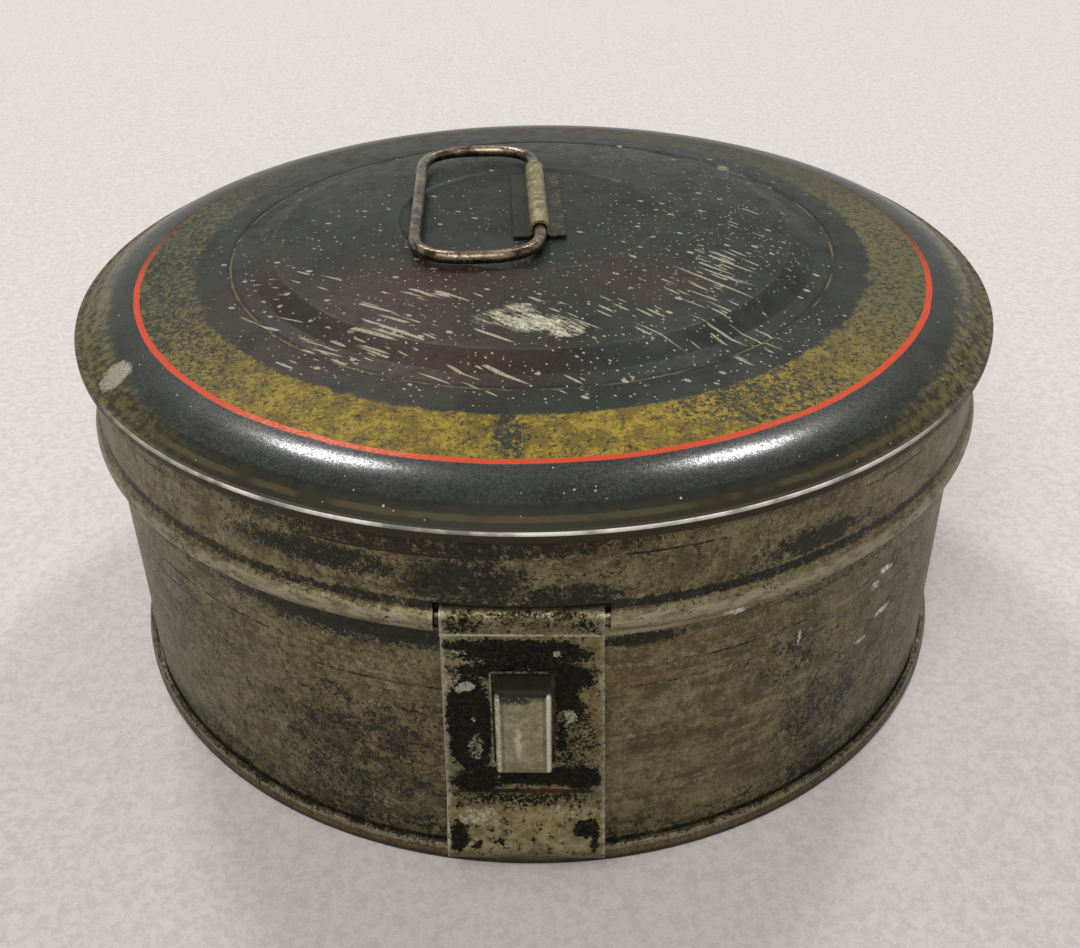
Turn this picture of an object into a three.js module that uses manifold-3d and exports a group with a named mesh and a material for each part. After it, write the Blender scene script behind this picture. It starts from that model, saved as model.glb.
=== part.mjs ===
// A round hinged tin for spices, with seven lidded canisters inside.
// Millimetres, +Z up. The origin is on the drum's axis, at the height that the tin stands on.
// The hasp is at the front, towards -Y, and the hinge is at the back.

import * as THREE from 'three';
import { mergeVertices } from 'three/addons/utils/BufferGeometryUtils.js';
import Module from 'manifold-3d';

const wasm = await Module();
wasm.setup();

// Sheet, wire and clearances
const tinThickness = 0.5;
const canTinThickness = 0.4;
const rimWireRadius = 1.4;
const bailWireRadius = 1.25;
const restGap = 0.3;
const cutOverrun = 5;

// Facets
const drumSegments = 40;
const canSegments = 18;
const wireSides = 8;
const bendStep = THREE.MathUtils.degToRad(30);
const lidShoulderSteps = 5;
const crownSteps = 3;
const bailSteps = 46;
const seamSteps = 3;

// Drum
const wallRadius = 88.6;
const shoulderHeight = 54;
const shoulderRounding = 1.3;
const neckHeight = 17.5;
const neckFillet = 0.8;
const hemDepth = 2.5;
const hemSlot = 0.2;
const seamWidth = 5;
const seamRise = 0.4;
const seamTurn = THREE.MathUtils.degToRad(16);
const seamRootShare = 0.8;

// Foot seam and floor
const footChannelGap = 1.1;
const footHeight = 3.9;
const footLipDrop = 0.7;
const footBevel = 0.45;
const floorHeight = 2.5;

// Rim wire and the bead round it
const haspWidth = 26;
const rimRingStandOff = 0.5;
const beadClearance = 0.5;
const beadLift = 0.1;
const beadFlare = 1.8;
const beadStart = THREE.MathUtils.degToRad(58);
const beadEnd = THREE.MathUtils.degToRad(-222);
const notchRise = 3.7;
const notchClearance = 0.94;

// Lid, from its edge to its middle
const skirtStandOff = 1.1;
const edgeOverhang = 1.8;
const edgeRise = 4;
const edgeRounding = 0.4;
const edgeFlat = 0.7;
const lidShoulderWidth = 12.7;
const lidShoulderRise = 4.6;
const lidShoulderBulge = 1;
const bandWidth = 18.3;
const bandRise = 2.3;
const grooveWidth = 1.6;
const grooveDepth = 0.35;
const ledgeWidth = 3.6;
const ledgeRise = 0.5;
const stepWidth = 4.8;
const stepRise = 2.3;
const stepBulge = 0.25;
const crownRise = 3.1;
const crownBulge = 0.45;
const panelRadius = 27;
const panelDepth = 0.5;
const panelSlope = 1;

// Hasp and staple
const haspFootWidth = 27.4;
const haspFootHeight = 5.1;
const haspWallGap = 0.5;
const haspTail = 2.3;
const lipHeight = 13.5;
const lipBend = 3.4;
const lipReach = 4.4;
const lipCurl = 3;
const lipTurn = THREE.MathUtils.degToRad(26);
const lipCurlTurn = THREE.MathUtils.degToRad(96);
const slotMiddleShare = 0.4776;
const stapleWidth = 9.2;
const stapleLength = 18.7;
const stapleReach = 4.4;
const stapleRounding = 0.9;
const stapleSideGap = 0.6;
const stapleEndGap = 0.8;

// Hinge strap at the back
const leafWidth = 26;
const leafLength = 27;
const leafCorner = 4;
const leafCornerShare = 0.7;
const leafBlend = 3.5;

// Handle
const handleOffsetX = 1.3;
const handleOffsetY = 5;
const handleTurn = THREE.MathUtils.degToRad(3);
const strapMargin = 4;
const strapFootReach = 5.2;
const strapFillet = 0.5;
const bailCorner = 10.8;
const bailReach = 1.5;
const bailEndFlat = 2.8;
const bailEndGap = 0.5;

// Canisters: one in the middle and the rest round it
const canCount = 7;
const canClearance = 0.5;
const canDrop = 7.2;
const canLidDepth = 8;
const canPanelShare = 0.8;
const canPanelSlope = 1;
const canPanelRecess = 0.6;
const canBottomFlange = 3;

// Worked out: the rim wire, what is rolled round it, and the neck that clears them
const rimRingRadius = wallRadius + rimRingStandOff;
const beadRadius = rimWireRadius + beadClearance + tinThickness;
const rimRingHeight = shoulderHeight + beadRadius + beadLift;
const notchHalfWidth = haspWidth / 2 + notchClearance;
const rimFlatDistance = Math.sqrt(rimRingRadius ** 2 - notchHalfWidth ** 2);
const barrelRadius = rimWireRadius + restGap;
const barrelOuterRadius = barrelRadius + tinThickness;
const neckRadius = rimFlatDistance - barrelOuterRadius - restGap;
const hemRadius = neckRadius - 2 * tinThickness - hemSlot;

// Worked out: radii and heights of the drum and the lid
const rimHeight = shoulderHeight + neckHeight;
const footRadius = wallRadius + tinThickness + footChannelGap;
const footInnerRadius = wallRadius - 2 * tinThickness - footChannelGap;
const skirtRadius = rimRingRadius + skirtStandOff;
const lidRadius = skirtRadius + edgeOverhang;
const edgeHeight = rimHeight + edgeRise;
const edgeFoldHeight = 3 * tinThickness + 2 * restGap;
const lineRadius = lidRadius - lidShoulderWidth;
const lineHeight = edgeHeight + lidShoulderRise;
const grooveRadius = lineRadius - bandWidth;
const grooveHeight = lineHeight + bandRise;
const stepFootRadius = grooveRadius - ledgeWidth;
const stepFootHeight = grooveHeight + ledgeRise;
const stepTopRadius = stepFootRadius - stepWidth;
const stepTopHeight = stepFootHeight + stepRise;
const panelRimHeight = stepTopHeight + crownRise;
const panelHeight = panelRimHeight - panelDepth;

// Worked out: the slot and the lip of the hasp
const lipTopHeight = haspFootHeight + lipHeight;
const plateLength = rimRingHeight - barrelOuterRadius - lipTopHeight;
const slotHeight = lipTopHeight + plateLength * slotMiddleShare;
const slotWidth = stapleWidth + 2 * stapleSideGap;
const slotLength = stapleLength + 2 * stapleEndGap;

// Worked out: the handle
const strapLength = 2 * (panelRadius - panelSlope - handleOffsetY - strapMargin);
const bailLength = strapLength + 2 * (bailCorner + bailReach);
const bailWidth = 2 * bailCorner + bailEndFlat;
const bailAxisHeight = panelRimHeight + restGap + bailWireRadius;

// Worked out: canisters that fill the drum's mouth, three across
const mouthRadius = hemRadius * Math.cos(Math.PI / drumSegments);
const canLidRadius = (mouthRadius - 2 * canClearance) / 3;
const canPitch = 2 * canLidRadius + canClearance;
const canRadius = canLidRadius - canTinThickness - restGap;
const canFoot = floorHeight + restGap;
const canTop = rimHeight - canDrop;

const frontTurn = -Math.PI / 2;
const backTurn = Math.PI / 2;

// Points of an arc round a centre, in a profile plane
function arc(centreX, centreY, radius, start, end) {
  const steps = Math.max(2, Math.round(Math.abs(end - start) / bendStep));
  const points = [];
  for (let i = 0; i <= steps; i++) {
    const angle = start + ((end - start) * i) / steps;
    points.push([centreX + radius * Math.cos(angle), centreY + radius * Math.sin(angle)]);
  }
  return points;
}

// Points from one place to another that bow out to the left by a small rise, ends left out
function bowedLine(from, to, rise, steps) {
  const length = Math.hypot(to[0] - from[0], to[1] - from[1]);
  const leftX = -(to[1] - from[1]) / length;
  const leftY = (to[0] - from[0]) / length;
  const points = [];
  for (let i = 1; i < steps; i++) {
    const share = i / steps;
    const lift = rise * (1 - (2 * share - 1) ** 2);
    points.push([
      from[0] + (to[0] - from[0]) * share + leftX * lift,
      from[1] + (to[1] - from[1]) * share + leftY * lift,
    ]);
  }
  return points;
}

// The path moved sideways, to the right of its direction, with mitred corners
function offsetPath(path, distance) {
  return path.map(([x, y], i) => {
    const before = path[Math.max(i - 1, 0)];
    const after = path[Math.min(i + 1, path.length - 1)];
    const inLength = Math.hypot(x - before[0], y - before[1]) || 1;
    const outLength = Math.hypot(after[0] - x, after[1] - y) || 1;
    const inNormal = [(y - before[1]) / inLength, -(x - before[0]) / inLength];
    const outNormal = [(after[1] - y) / outLength, -(after[0] - x) / outLength];
    const first = i === 0 ? outNormal : inNormal;
    const second = i === path.length - 1 ? inNormal : outNormal;
    const mitre = distance / (1 + first[0] * second[0] + first[1] * second[1]);
    return [x + (first[0] + second[0]) * mitre, y + (first[1] + second[1]) * mitre];
  });
}

// The closed outline of a bent sheet whose outer face follows the path, metal on the right
function sheetOutline(path, thickness) {
  return [...path, ...offsetPath(path, thickness).reverse()];
}

// One closed body: shared vertices, no collapsed faces, and faces that point out
function closedBody(source) {
  const bare = source.clone();
  bare.deleteAttribute('normal');
  bare.deleteAttribute('uv');
  const merged = mergeVertices(bare);
  const position = merged.getAttribute('position');
  const corner = [new THREE.Vector3(), new THREE.Vector3(), new THREE.Vector3()];
  const faces = [];
  let volume = 0;
  for (let i = 0; i < merged.index.count; i += 3) {
    const face = [0, 1, 2].map((k) => merged.index.getX(i + k));
    if (new Set(face).size < 3) continue;
    face.forEach((vertex, k) => corner[k].fromBufferAttribute(position, vertex));
    volume += corner[0].dot(corner[1].clone().cross(corner[2]));
    faces.push(face);
  }
  const outward = volume < 0 ? faces.map(([a, b, c]) => [a, c, b]) : faces;
  merged.setIndex(outward.flat());
  return merged;
}

function toSolid(geometry) {
  const body = closedBody(geometry);
  return new wasm.Manifold(
    new wasm.Mesh({
      numProp: 3,
      vertProperties: new Float32Array(body.getAttribute('position').array),
      triVerts: new Uint32Array(body.index.array),
    }),
  );
}

function fromSolid(solid) {
  const mesh = solid.getMesh();
  const geometry = new THREE.BufferGeometry();
  geometry.setAttribute('position', new THREE.BufferAttribute(mesh.vertProperties, 3));
  geometry.setIndex(new THREE.BufferAttribute(mesh.triVerts, 1));
  return geometry;
}

// A profile of radius and height turned about the Z axis
function turned(outline, segments) {
  const points = outline.map(([radius, height]) => new THREE.Vector2(Math.max(radius, 0), height));
  if (outline[0][0] > 0) points.push(points[0].clone());
  const geometry = new THREE.LatheGeometry(points, segments);
  geometry.rotateX(Math.PI / 2);
  return geometry;
}

// A strip whose side outline lies in the XZ plane, centred on its width along Y
function strip(outline, width, steps) {
  const shape = new THREE.Shape(outline.map(([x, z]) => new THREE.Vector2(x, z)));
  const geometry = new THREE.ExtrudeGeometry(shape, { depth: width, steps, bevelEnabled: false });
  geometry.translate(0, 0, -width / 2);
  geometry.rotateX(Math.PI / 2);
  return geometry;
}

function moveVertices(geometry, place) {
  const position = geometry.getAttribute('position');
  const point = new THREE.Vector3();
  for (let i = 0; i < position.count; i++) {
    point.fromBufferAttribute(position, i);
    place(point);
    position.setXYZ(i, point.x, point.y, point.z);
  }
  return geometry;
}

// A round wire along a closed line in a level plane
function closedWire(centres, radius) {
  const count = centres.length;
  const positions = [];
  const faces = [];
  centres.forEach((centre, i) => {
    const back = centre.clone().sub(centres[(i + count - 1) % count]).normalize();
    const ahead = centres[(i + 1) % count].clone().sub(centre).normalize();
    const along = back.clone().add(ahead).normalize();
    const stretch = radius / along.dot(ahead);
    for (let side = 0; side < wireSides; side++) {
      const angle = (2 * Math.PI * side) / wireSides;
      const out = stretch * Math.cos(angle);
      positions.push(
        centre.x + along.y * out,
        centre.y - along.x * out,
        centre.z + radius * Math.sin(angle),
      );
      const next = ((i + 1) % count) * wireSides;
      const turn = (side + 1) % wireSides;
      faces.push(i * wireSides + side, next + side, next + turn);
      faces.push(i * wireSides + side, next + turn, i * wireSides + turn);
    }
  });
  const geometry = new THREE.BufferGeometry();
  geometry.setAttribute('position', new THREE.Float32BufferAttribute(positions, 3));
  geometry.setIndex(faces);
  return geometry;
}

// Materials

function japanBlack() {
  return new THREE.MeshStandardMaterial({ color: 0x26292a, roughness: 0.35, metalness: 0.1 });
}

function wornTin() {
  return new THREE.MeshStandardMaterial({ color: 0x5a5446, roughness: 0.5, metalness: 0.7 });
}

function brownWire() {
  return new THREE.MeshStandardMaterial({ color: 0x5e5344, roughness: 0.45, metalness: 0.8 });
}

function brightTin() {
  return new THREE.MeshStandardMaterial({ color: 0x8b887c, roughness: 0.4, metalness: 0.85 });
}

function part(name, geometry, material) {
  const body = closedBody(geometry).toNonIndexed();
  body.computeVertexNormals();
  const mesh = new THREE.Mesh(body, material);
  mesh.name = name;
  return mesh;
}

// Drum

function wallPath() {
  return [
    [hemRadius, rimHeight - hemDepth],
    [hemRadius, rimHeight],
    [neckRadius, rimHeight],
    ...arc(neckRadius + neckFillet, shoulderHeight + neckFillet, neckFillet, Math.PI, 1.5 * Math.PI),
    ...arc(
      wallRadius - shoulderRounding,
      shoulderHeight - shoulderRounding,
      shoulderRounding,
      Math.PI / 2,
      0,
    ),
    [wallRadius, tinThickness + restGap],
  ];
}

// The lapped side seam stands out of the wall as a flat rib
function seamRib() {
  const half = seamWidth / 2 / wallRadius;
  const start = backTurn + seamTurn - half;
  const end = backTurn + seamTurn + half;
  const rib = new THREE.Shape();
  rib.absarc(0, 0, wallRadius + seamRise, start, end, false);
  rib.absarc(0, 0, wallRadius - tinThickness * seamRootShare, end, start, true);
  const bottom = footHeight + restGap;
  const depth = shoulderHeight - shoulderRounding - bottom;
  const geometry = new THREE.ExtrudeGeometry(rib, { depth, bevelEnabled: false, curveSegments: seamSteps });
  geometry.translate(0, 0, bottom);
  return geometry;
}

function bodyWall() {
  const drum = turned(sheetOutline(wallPath(), tinThickness), drumSegments);
  return part('body_wall', fromSolid(toSolid(drum).add(toSolid(seamRib()))), wornTin());
}

function bodyBottom() {
  const floorUnderside = floorHeight - tinThickness;
  const path = [
    [wallRadius + tinThickness + restGap, footHeight],
    [footRadius, footHeight - footLipDrop],
    [footRadius, footBevel],
    [footRadius - footBevel, 0],
    [footInnerRadius, 0],
    [footInnerRadius, floorUnderside],
    [0, floorUnderside],
  ];
  return part('body_bottom', turned(sheetOutline(path, tinThickness), drumSegments), wornTin());
}

// Lid

function lidPath() {
  const panelRim = [panelRadius, panelRimHeight];
  const stepTop = [stepTopRadius, stepTopHeight];
  const stepFoot = [stepFootRadius, stepFootHeight];
  const line = [lineRadius, lineHeight];
  const edgeInner = [lidRadius - edgeRounding - edgeFlat, edgeHeight];
  const edgeBottom = edgeHeight - edgeFoldHeight;
  return [
    [0, panelHeight],
    [panelRadius - panelSlope, panelHeight],
    panelRim,
    ...bowedLine(panelRim, stepTop, crownBulge, crownSteps),
    stepTop,
    ...bowedLine(stepTop, stepFoot, stepBulge, 2),
    stepFoot,
    [grooveRadius - grooveWidth / 2, grooveHeight],
    [grooveRadius, grooveHeight - grooveDepth],
    [grooveRadius + grooveWidth / 2, grooveHeight],
    line,
    ...bowedLine(line, edgeInner, lidShoulderBulge, lidShoulderSteps),
    edgeInner,
    [lidRadius - edgeRounding, edgeHeight],
    [lidRadius, edgeHeight - edgeRounding],
    [lidRadius, edgeBottom + edgeRounding],
    [lidRadius - edgeRounding, edgeBottom],
    [skirtRadius + restGap, edgeBottom],
  ];
}

function lidTop() {
  return part('lid_top', turned(sheetOutline(lidPath(), tinThickness), drumSegments), japanBlack());
}

// The skirt hangs from a flange in the folded edge and curls in round the rim wire
function skirtPath() {
  const flangeUnderside = edgeHeight - 2 * tinThickness - restGap;
  const curl = arc(rimRingRadius, rimRingHeight, beadRadius, beadStart, beadEnd);
  return [
    [lidRadius - tinThickness - restGap, flangeUnderside],
    [skirtRadius, flangeUnderside],
    [skirtRadius, curl[0][1] + beadFlare],
    ...curl,
  ];
}

// The bead is cut away at the front for the hasp and at the back for the hinge
function beadNotch() {
  const bottom = rimRingHeight - beadRadius - cutOverrun;
  const top = rimRingHeight + notchRise;
  const notch = new THREE.BoxGeometry(2 * notchHalfWidth, 2 * (lidRadius + cutOverrun), top - bottom);
  notch.translate(0, 0, (top + bottom) / 2);
  return notch;
}

function lidSkirt() {
  const band = turned(sheetOutline(skirtPath(), tinThickness), drumSegments);
  return part('lid_skirt', fromSolid(toSolid(band).subtract(toSolid(beadNotch()))), wornTin());
}

// The rim wire runs straight where the hasp and the hinge hold it
function lidRimWire() {
  const corner = Math.acos(rimFlatDistance / rimRingRadius);
  const steps = drumSegments / 2 - 2;
  const centres = [];
  for (const middle of [0, Math.PI]) {
    for (let i = 0; i <= steps; i++) {
      const angle = middle - Math.PI / 2 + corner + ((Math.PI - 2 * corner) * i) / steps;
      const x = rimRingRadius * Math.cos(angle);
      const y = rimRingRadius * Math.sin(angle);
      centres.push(new THREE.Vector3(x, y, rimRingHeight));
    }
  }
  return part('lid_rim_wire', closedWire(centres, rimWireRadius), brownWire());
}

// A strap's path from its tail, up over the rim wire, behind and below it, to the top of its plate
function strapPath(plateFace) {
  const turn = plateFace - rimFlatDistance - tinThickness;
  const turnHeight = rimRingHeight - barrelOuterRadius - turn;
  return [
    [rimFlatDistance + barrelRadius, rimRingHeight - haspTail],
    ...arc(rimFlatDistance, rimRingHeight, barrelRadius, 0, 1.5 * Math.PI),
    ...arc(rimFlatDistance, turnHeight, turn + tinThickness, Math.PI / 2, 0).slice(1),
  ];
}

// Hasp

function haspPath() {
  const face = wallRadius + haspWallGap + tinThickness;
  const curlHeight = haspFootHeight + lipCurl * Math.sin(lipCurlTurn - lipTurn);
  return [
    ...strapPath(face),
    ...arc(face + lipBend, lipTopHeight, lipBend, Math.PI, Math.PI + lipTurn),
    ...arc(face + lipReach - lipCurl, curlHeight, lipCurl, lipTurn, lipTurn - lipCurlTurn),
  ];
}

function hasp() {
  const blank = strip(sheetOutline(haspPath(), tinThickness), haspWidth, 1);
  const widening = haspFootWidth / haspWidth - 1;
  moveVertices(blank, (point) => {
    const share = THREE.MathUtils.clamp((rimRingHeight - point.z) / (rimRingHeight - lipTopHeight), 0, 1);
    point.y *= 1 + widening * share;
  });
  const slot = new THREE.BoxGeometry(cutOverrun, slotWidth, slotLength);
  slot.translate(wallRadius + haspWallGap, 0, slotHeight);
  const mesh = part('hasp', fromSolid(toSolid(blank).subtract(toSolid(slot))), wornTin());
  mesh.rotation.z = frontTurn;
  return mesh;
}

// A strip bent to a bridge, its two ends soldered to the drum
function haspStaple() {
  const root = wallRadius + restGap;
  const face = wallRadius + stapleReach;
  const bottom = slotHeight - stapleLength / 2;
  const top = slotHeight + stapleLength / 2;
  const path = [
    [root, top],
    ...arc(face - stapleRounding, top - stapleRounding, stapleRounding, Math.PI / 2, 0),
    ...arc(face - stapleRounding, bottom + stapleRounding, stapleRounding, 0, -Math.PI / 2),
    [root, bottom],
  ];
  const mesh = part('hasp_staple', strip(sheetOutline(path, tinThickness), stapleWidth, 1), brightTin());
  mesh.rotation.z = frontTurn;
  return mesh;
}

// Hinge strap: its barrel is straight, and its leaf follows the round of the drum
function hingeLeaf() {
  const face = wallRadius + restGap + tinThickness;
  const foot = shoulderHeight - leafLength;
  const blendTop = shoulderHeight - shoulderRounding;
  const path = [
    ...strapPath(face),
    [face, blendTop],
    [face, blendTop - leafBlend],
    [face, foot + leafCorner],
    [face, foot],
  ];
  const leaf = strip(sheetOutline(path, tinThickness), leafWidth, 2);
  const fall = Math.tan(Math.PI / drumSegments);
  moveVertices(leaf, (point) => {
    const round = THREE.MathUtils.smoothstep(blendTop - point.z, 0, leafBlend);
    const corner = THREE.MathUtils.clamp((foot + leafCorner - point.z) / leafCorner, 0, 1);
    point.y *= 1 - corner * (1 - leafCornerShare);
    point.x -= round * fall * Math.abs(point.y);
  });
  const mesh = part('hinge_leaf', leaf, wornTin());
  mesh.rotation.z = backTurn;
  return mesh;
}

// Handle

// The strap's section has two flat feet, an arch over the wire and a fillet on each side
function handleStrap() {
  const footTop = panelHeight + restGap + tinThickness;
  const arch = bailWireRadius + restGap + tinThickness;
  const filletHeight = footTop + strapFillet;
  const filletX = Math.sqrt((arch + strapFillet) ** 2 - (bailAxisHeight - filletHeight) ** 2);
  const lean = Math.atan2(bailAxisHeight - filletHeight, filletX);
  const path = [
    [-strapFootReach, footTop],
    ...arc(-filletX, filletHeight, strapFillet, -Math.PI / 2, lean),
    ...arc(0, bailAxisHeight, arch, Math.PI + lean, -lean).slice(1, -1),
    ...arc(filletX, filletHeight, strapFillet, Math.PI - lean, 1.5 * Math.PI),
    [strapFootReach, footTop],
  ];
  return part('handle_strap', strip(sheetOutline(path, tinThickness), strapLength, 1), wornTin());
}

// The wire's ends meet inside the strap
function bailPath() {
  const half = bailLength / 2;
  const path = new THREE.CurvePath();
  const place = (x, y) => new THREE.Vector3(x, y, 0);
  const line = (a, b) => path.add(new THREE.LineCurve3(a, b));
  const bend = (a, corner, b) => path.add(new THREE.QuadraticBezierCurve3(a, corner, b));
  const near = bailCorner;
  line(place(0, bailEndGap / 2), place(0, half - near));
  bend(place(0, half - near), place(0, half), place(-near, half));
  line(place(-near, half), place(near - bailWidth, half));
  bend(place(near - bailWidth, half), place(-bailWidth, half), place(-bailWidth, half - near));
  line(place(-bailWidth, half - near), place(-bailWidth, near - half));
  bend(place(-bailWidth, near - half), place(-bailWidth, -half), place(near - bailWidth, -half));
  line(place(near - bailWidth, -half), place(-near, -half));
  bend(place(-near, -half), place(0, -half), place(0, near - half));
  line(place(0, near - half), place(0, -bailEndGap / 2));
  return path;
}

function handleBail() {
  const section = new THREE.Shape();
  section.absarc(0, 0, bailWireRadius, 0, 2 * Math.PI, false);
  const geometry = new THREE.ExtrudeGeometry(section, {
    steps: bailSteps,
    curveSegments: wireSides / 2,
    extrudePath: bailPath(),
  });
  const mesh = part('handle_bail', geometry, brownWire());
  mesh.position.z = bailAxisHeight;
  return mesh;
}

// Canisters

function canWall(name) {
  const path = [
    [canRadius, canTop - canTinThickness - restGap],
    [canRadius, canFoot + canTinThickness + restGap],
  ];
  return part(`${name}_wall`, turned(sheetOutline(path, canTinThickness), canSegments), brightTin());
}

function canBottom(name) {
  const path = [
    [canLidRadius, canFoot + canBottomFlange],
    [canLidRadius, canFoot],
    [0, canFoot],
  ];
  return part(`${name}_bottom`, turned(sheetOutline(path, canTinThickness), canSegments), brightTin());
}

function canLid(name) {
  const panel = canLidRadius * canPanelShare;
  const path = [
    [0, canTop - canPanelRecess],
    [panel - canPanelSlope, canTop - canPanelRecess],
    [panel, canTop],
    [canLidRadius, canTop],
    [canLidRadius, canTop - canLidDepth],
  ];
  return part(`${name}_lid`, turned(sheetOutline(path, canTinThickness), canSegments), brightTin());
}

// The last canister stands in the middle
function canister(index) {
  const ringCount = canCount - 1;
  const angle = (2 * Math.PI * index) / ringCount;
  const distance = index < ringCount ? canPitch : 0;
  const name = `spice_can_${index + 1}`;
  const group = new THREE.Group();
  group.position.set(distance * Math.cos(angle), distance * Math.sin(angle), 0);
  group.add(canWall(name), canBottom(name), canLid(name));
  return group;
}

function drumGroup() {
  const group = new THREE.Group();
  group.add(bodyWall(), bodyBottom(), haspStaple(), hingeLeaf());
  return group;
}

function handleGroup() {
  const group = new THREE.Group();
  group.position.set(handleOffsetX, handleOffsetY, 0);
  group.rotation.z = handleTurn;
  group.add(handleStrap(), handleBail());
  return group;
}

function lidGroup() {
  const group = new THREE.Group();
  group.add(lidTop(), lidSkirt(), lidRimWire(), hasp(), handleGroup());
  return group;
}

const tin = new THREE.Group();
tin.add(drumGroup(), lidGroup());
for (let index = 0; index < canCount; index++) tin.add(canister(index));

export default tin;
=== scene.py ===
"""Looks of a round hinged spice tin in worn black japanned tinplate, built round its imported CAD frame.

Sizes are in millimetres and turn to metres where a mesh is made. Azimuth 0 is the front, where the hasp hangs,
and it grows towards +X.
"""

import logging
import math
from dataclasses import dataclass
from enum import Enum
from functools import reduce
from operator import or_

import bmesh
import bpy
import numpy as np
from mathutils import Matrix, Vector

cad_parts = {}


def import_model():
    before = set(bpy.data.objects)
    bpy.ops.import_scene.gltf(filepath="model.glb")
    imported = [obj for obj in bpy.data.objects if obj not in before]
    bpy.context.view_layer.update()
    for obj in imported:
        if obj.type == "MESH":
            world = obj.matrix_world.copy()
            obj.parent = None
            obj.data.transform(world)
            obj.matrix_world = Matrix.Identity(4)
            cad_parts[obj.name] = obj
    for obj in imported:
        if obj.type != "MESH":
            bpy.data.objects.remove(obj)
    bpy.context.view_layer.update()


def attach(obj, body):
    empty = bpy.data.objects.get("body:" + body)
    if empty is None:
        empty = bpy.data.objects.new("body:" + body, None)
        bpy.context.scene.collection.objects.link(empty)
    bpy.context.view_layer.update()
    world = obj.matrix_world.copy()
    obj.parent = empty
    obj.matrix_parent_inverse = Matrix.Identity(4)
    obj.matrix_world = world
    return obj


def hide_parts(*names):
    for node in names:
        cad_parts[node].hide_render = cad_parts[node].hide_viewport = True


LOG = logging.getLogger("spice_tin")
MM = 0.001
TIN_SHEET = 0.5
REST_GAP = 0.3
RING_COUNT = 6
FULL_TURN = 360.0
MERGE_REACH = 1e-6
CREASE_ANGLE = math.radians(38)
FAR = 1e4
SEED_STEPS = (7.3, 3.1, 5.7)
LEAST_FLECK = 0.25
FLECK_EDGE = (0.25, -0.15)
LEAST_BEND = 0.04
BEND_ROOM = 0.45
TINY = 1e-6

Colour = tuple[float, float, float]
Pair = tuple[float, float]
Triple = tuple[float, float, float]
Finish = bpy.types.Material


class Slot(Enum):
    """Material slot names; nothing in the script uses them."""

    LID = "lid_japanning"
    DRUM = "drum_japanning"
    HASP = "hasp_japanning"
    HANDLE = "handle_tinplate"
    BARE = "bare_tinplate"
    WIRE = "brown_wire"
    CANISTER = "canister_tinplate"


# Shader building


class Value:
    """One node output whose arithmetic adds Math nodes."""

    def __init__(self, graph: "Tree", socket: bpy.types.NodeSocket) -> None:
        """Keeps the output and the tree that it belongs to."""
        self.graph = graph
        self.socket = socket

    def __add__(self, other: "Value | float") -> "Value":
        """Sum."""
        return self.graph.math("ADD", self, other)

    __radd__ = __add__

    def __sub__(self, other: "Value | float") -> "Value":
        """Difference."""
        return self.graph.math("SUBTRACT", self, other)

    def __rsub__(self, other: "Value | float") -> "Value":
        """Difference from the left."""
        return self.graph.math("SUBTRACT", other, self)

    def __mul__(self, other: "Value | float") -> "Value":
        """Product."""
        return self.graph.math("MULTIPLY", self, other)

    __rmul__ = __mul__

    def __abs__(self) -> "Value":
        """Size without sign."""
        return self.graph.math("ABSOLUTE", self)

    def __or__(self, other: "Value | float") -> "Value":
        """The larger of two masks."""
        return self.graph.math("MAXIMUM", self, other)


Input = Value | float | Triple
Inputs = dict[int | str, Input]
Settings = dict[str, object]


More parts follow.
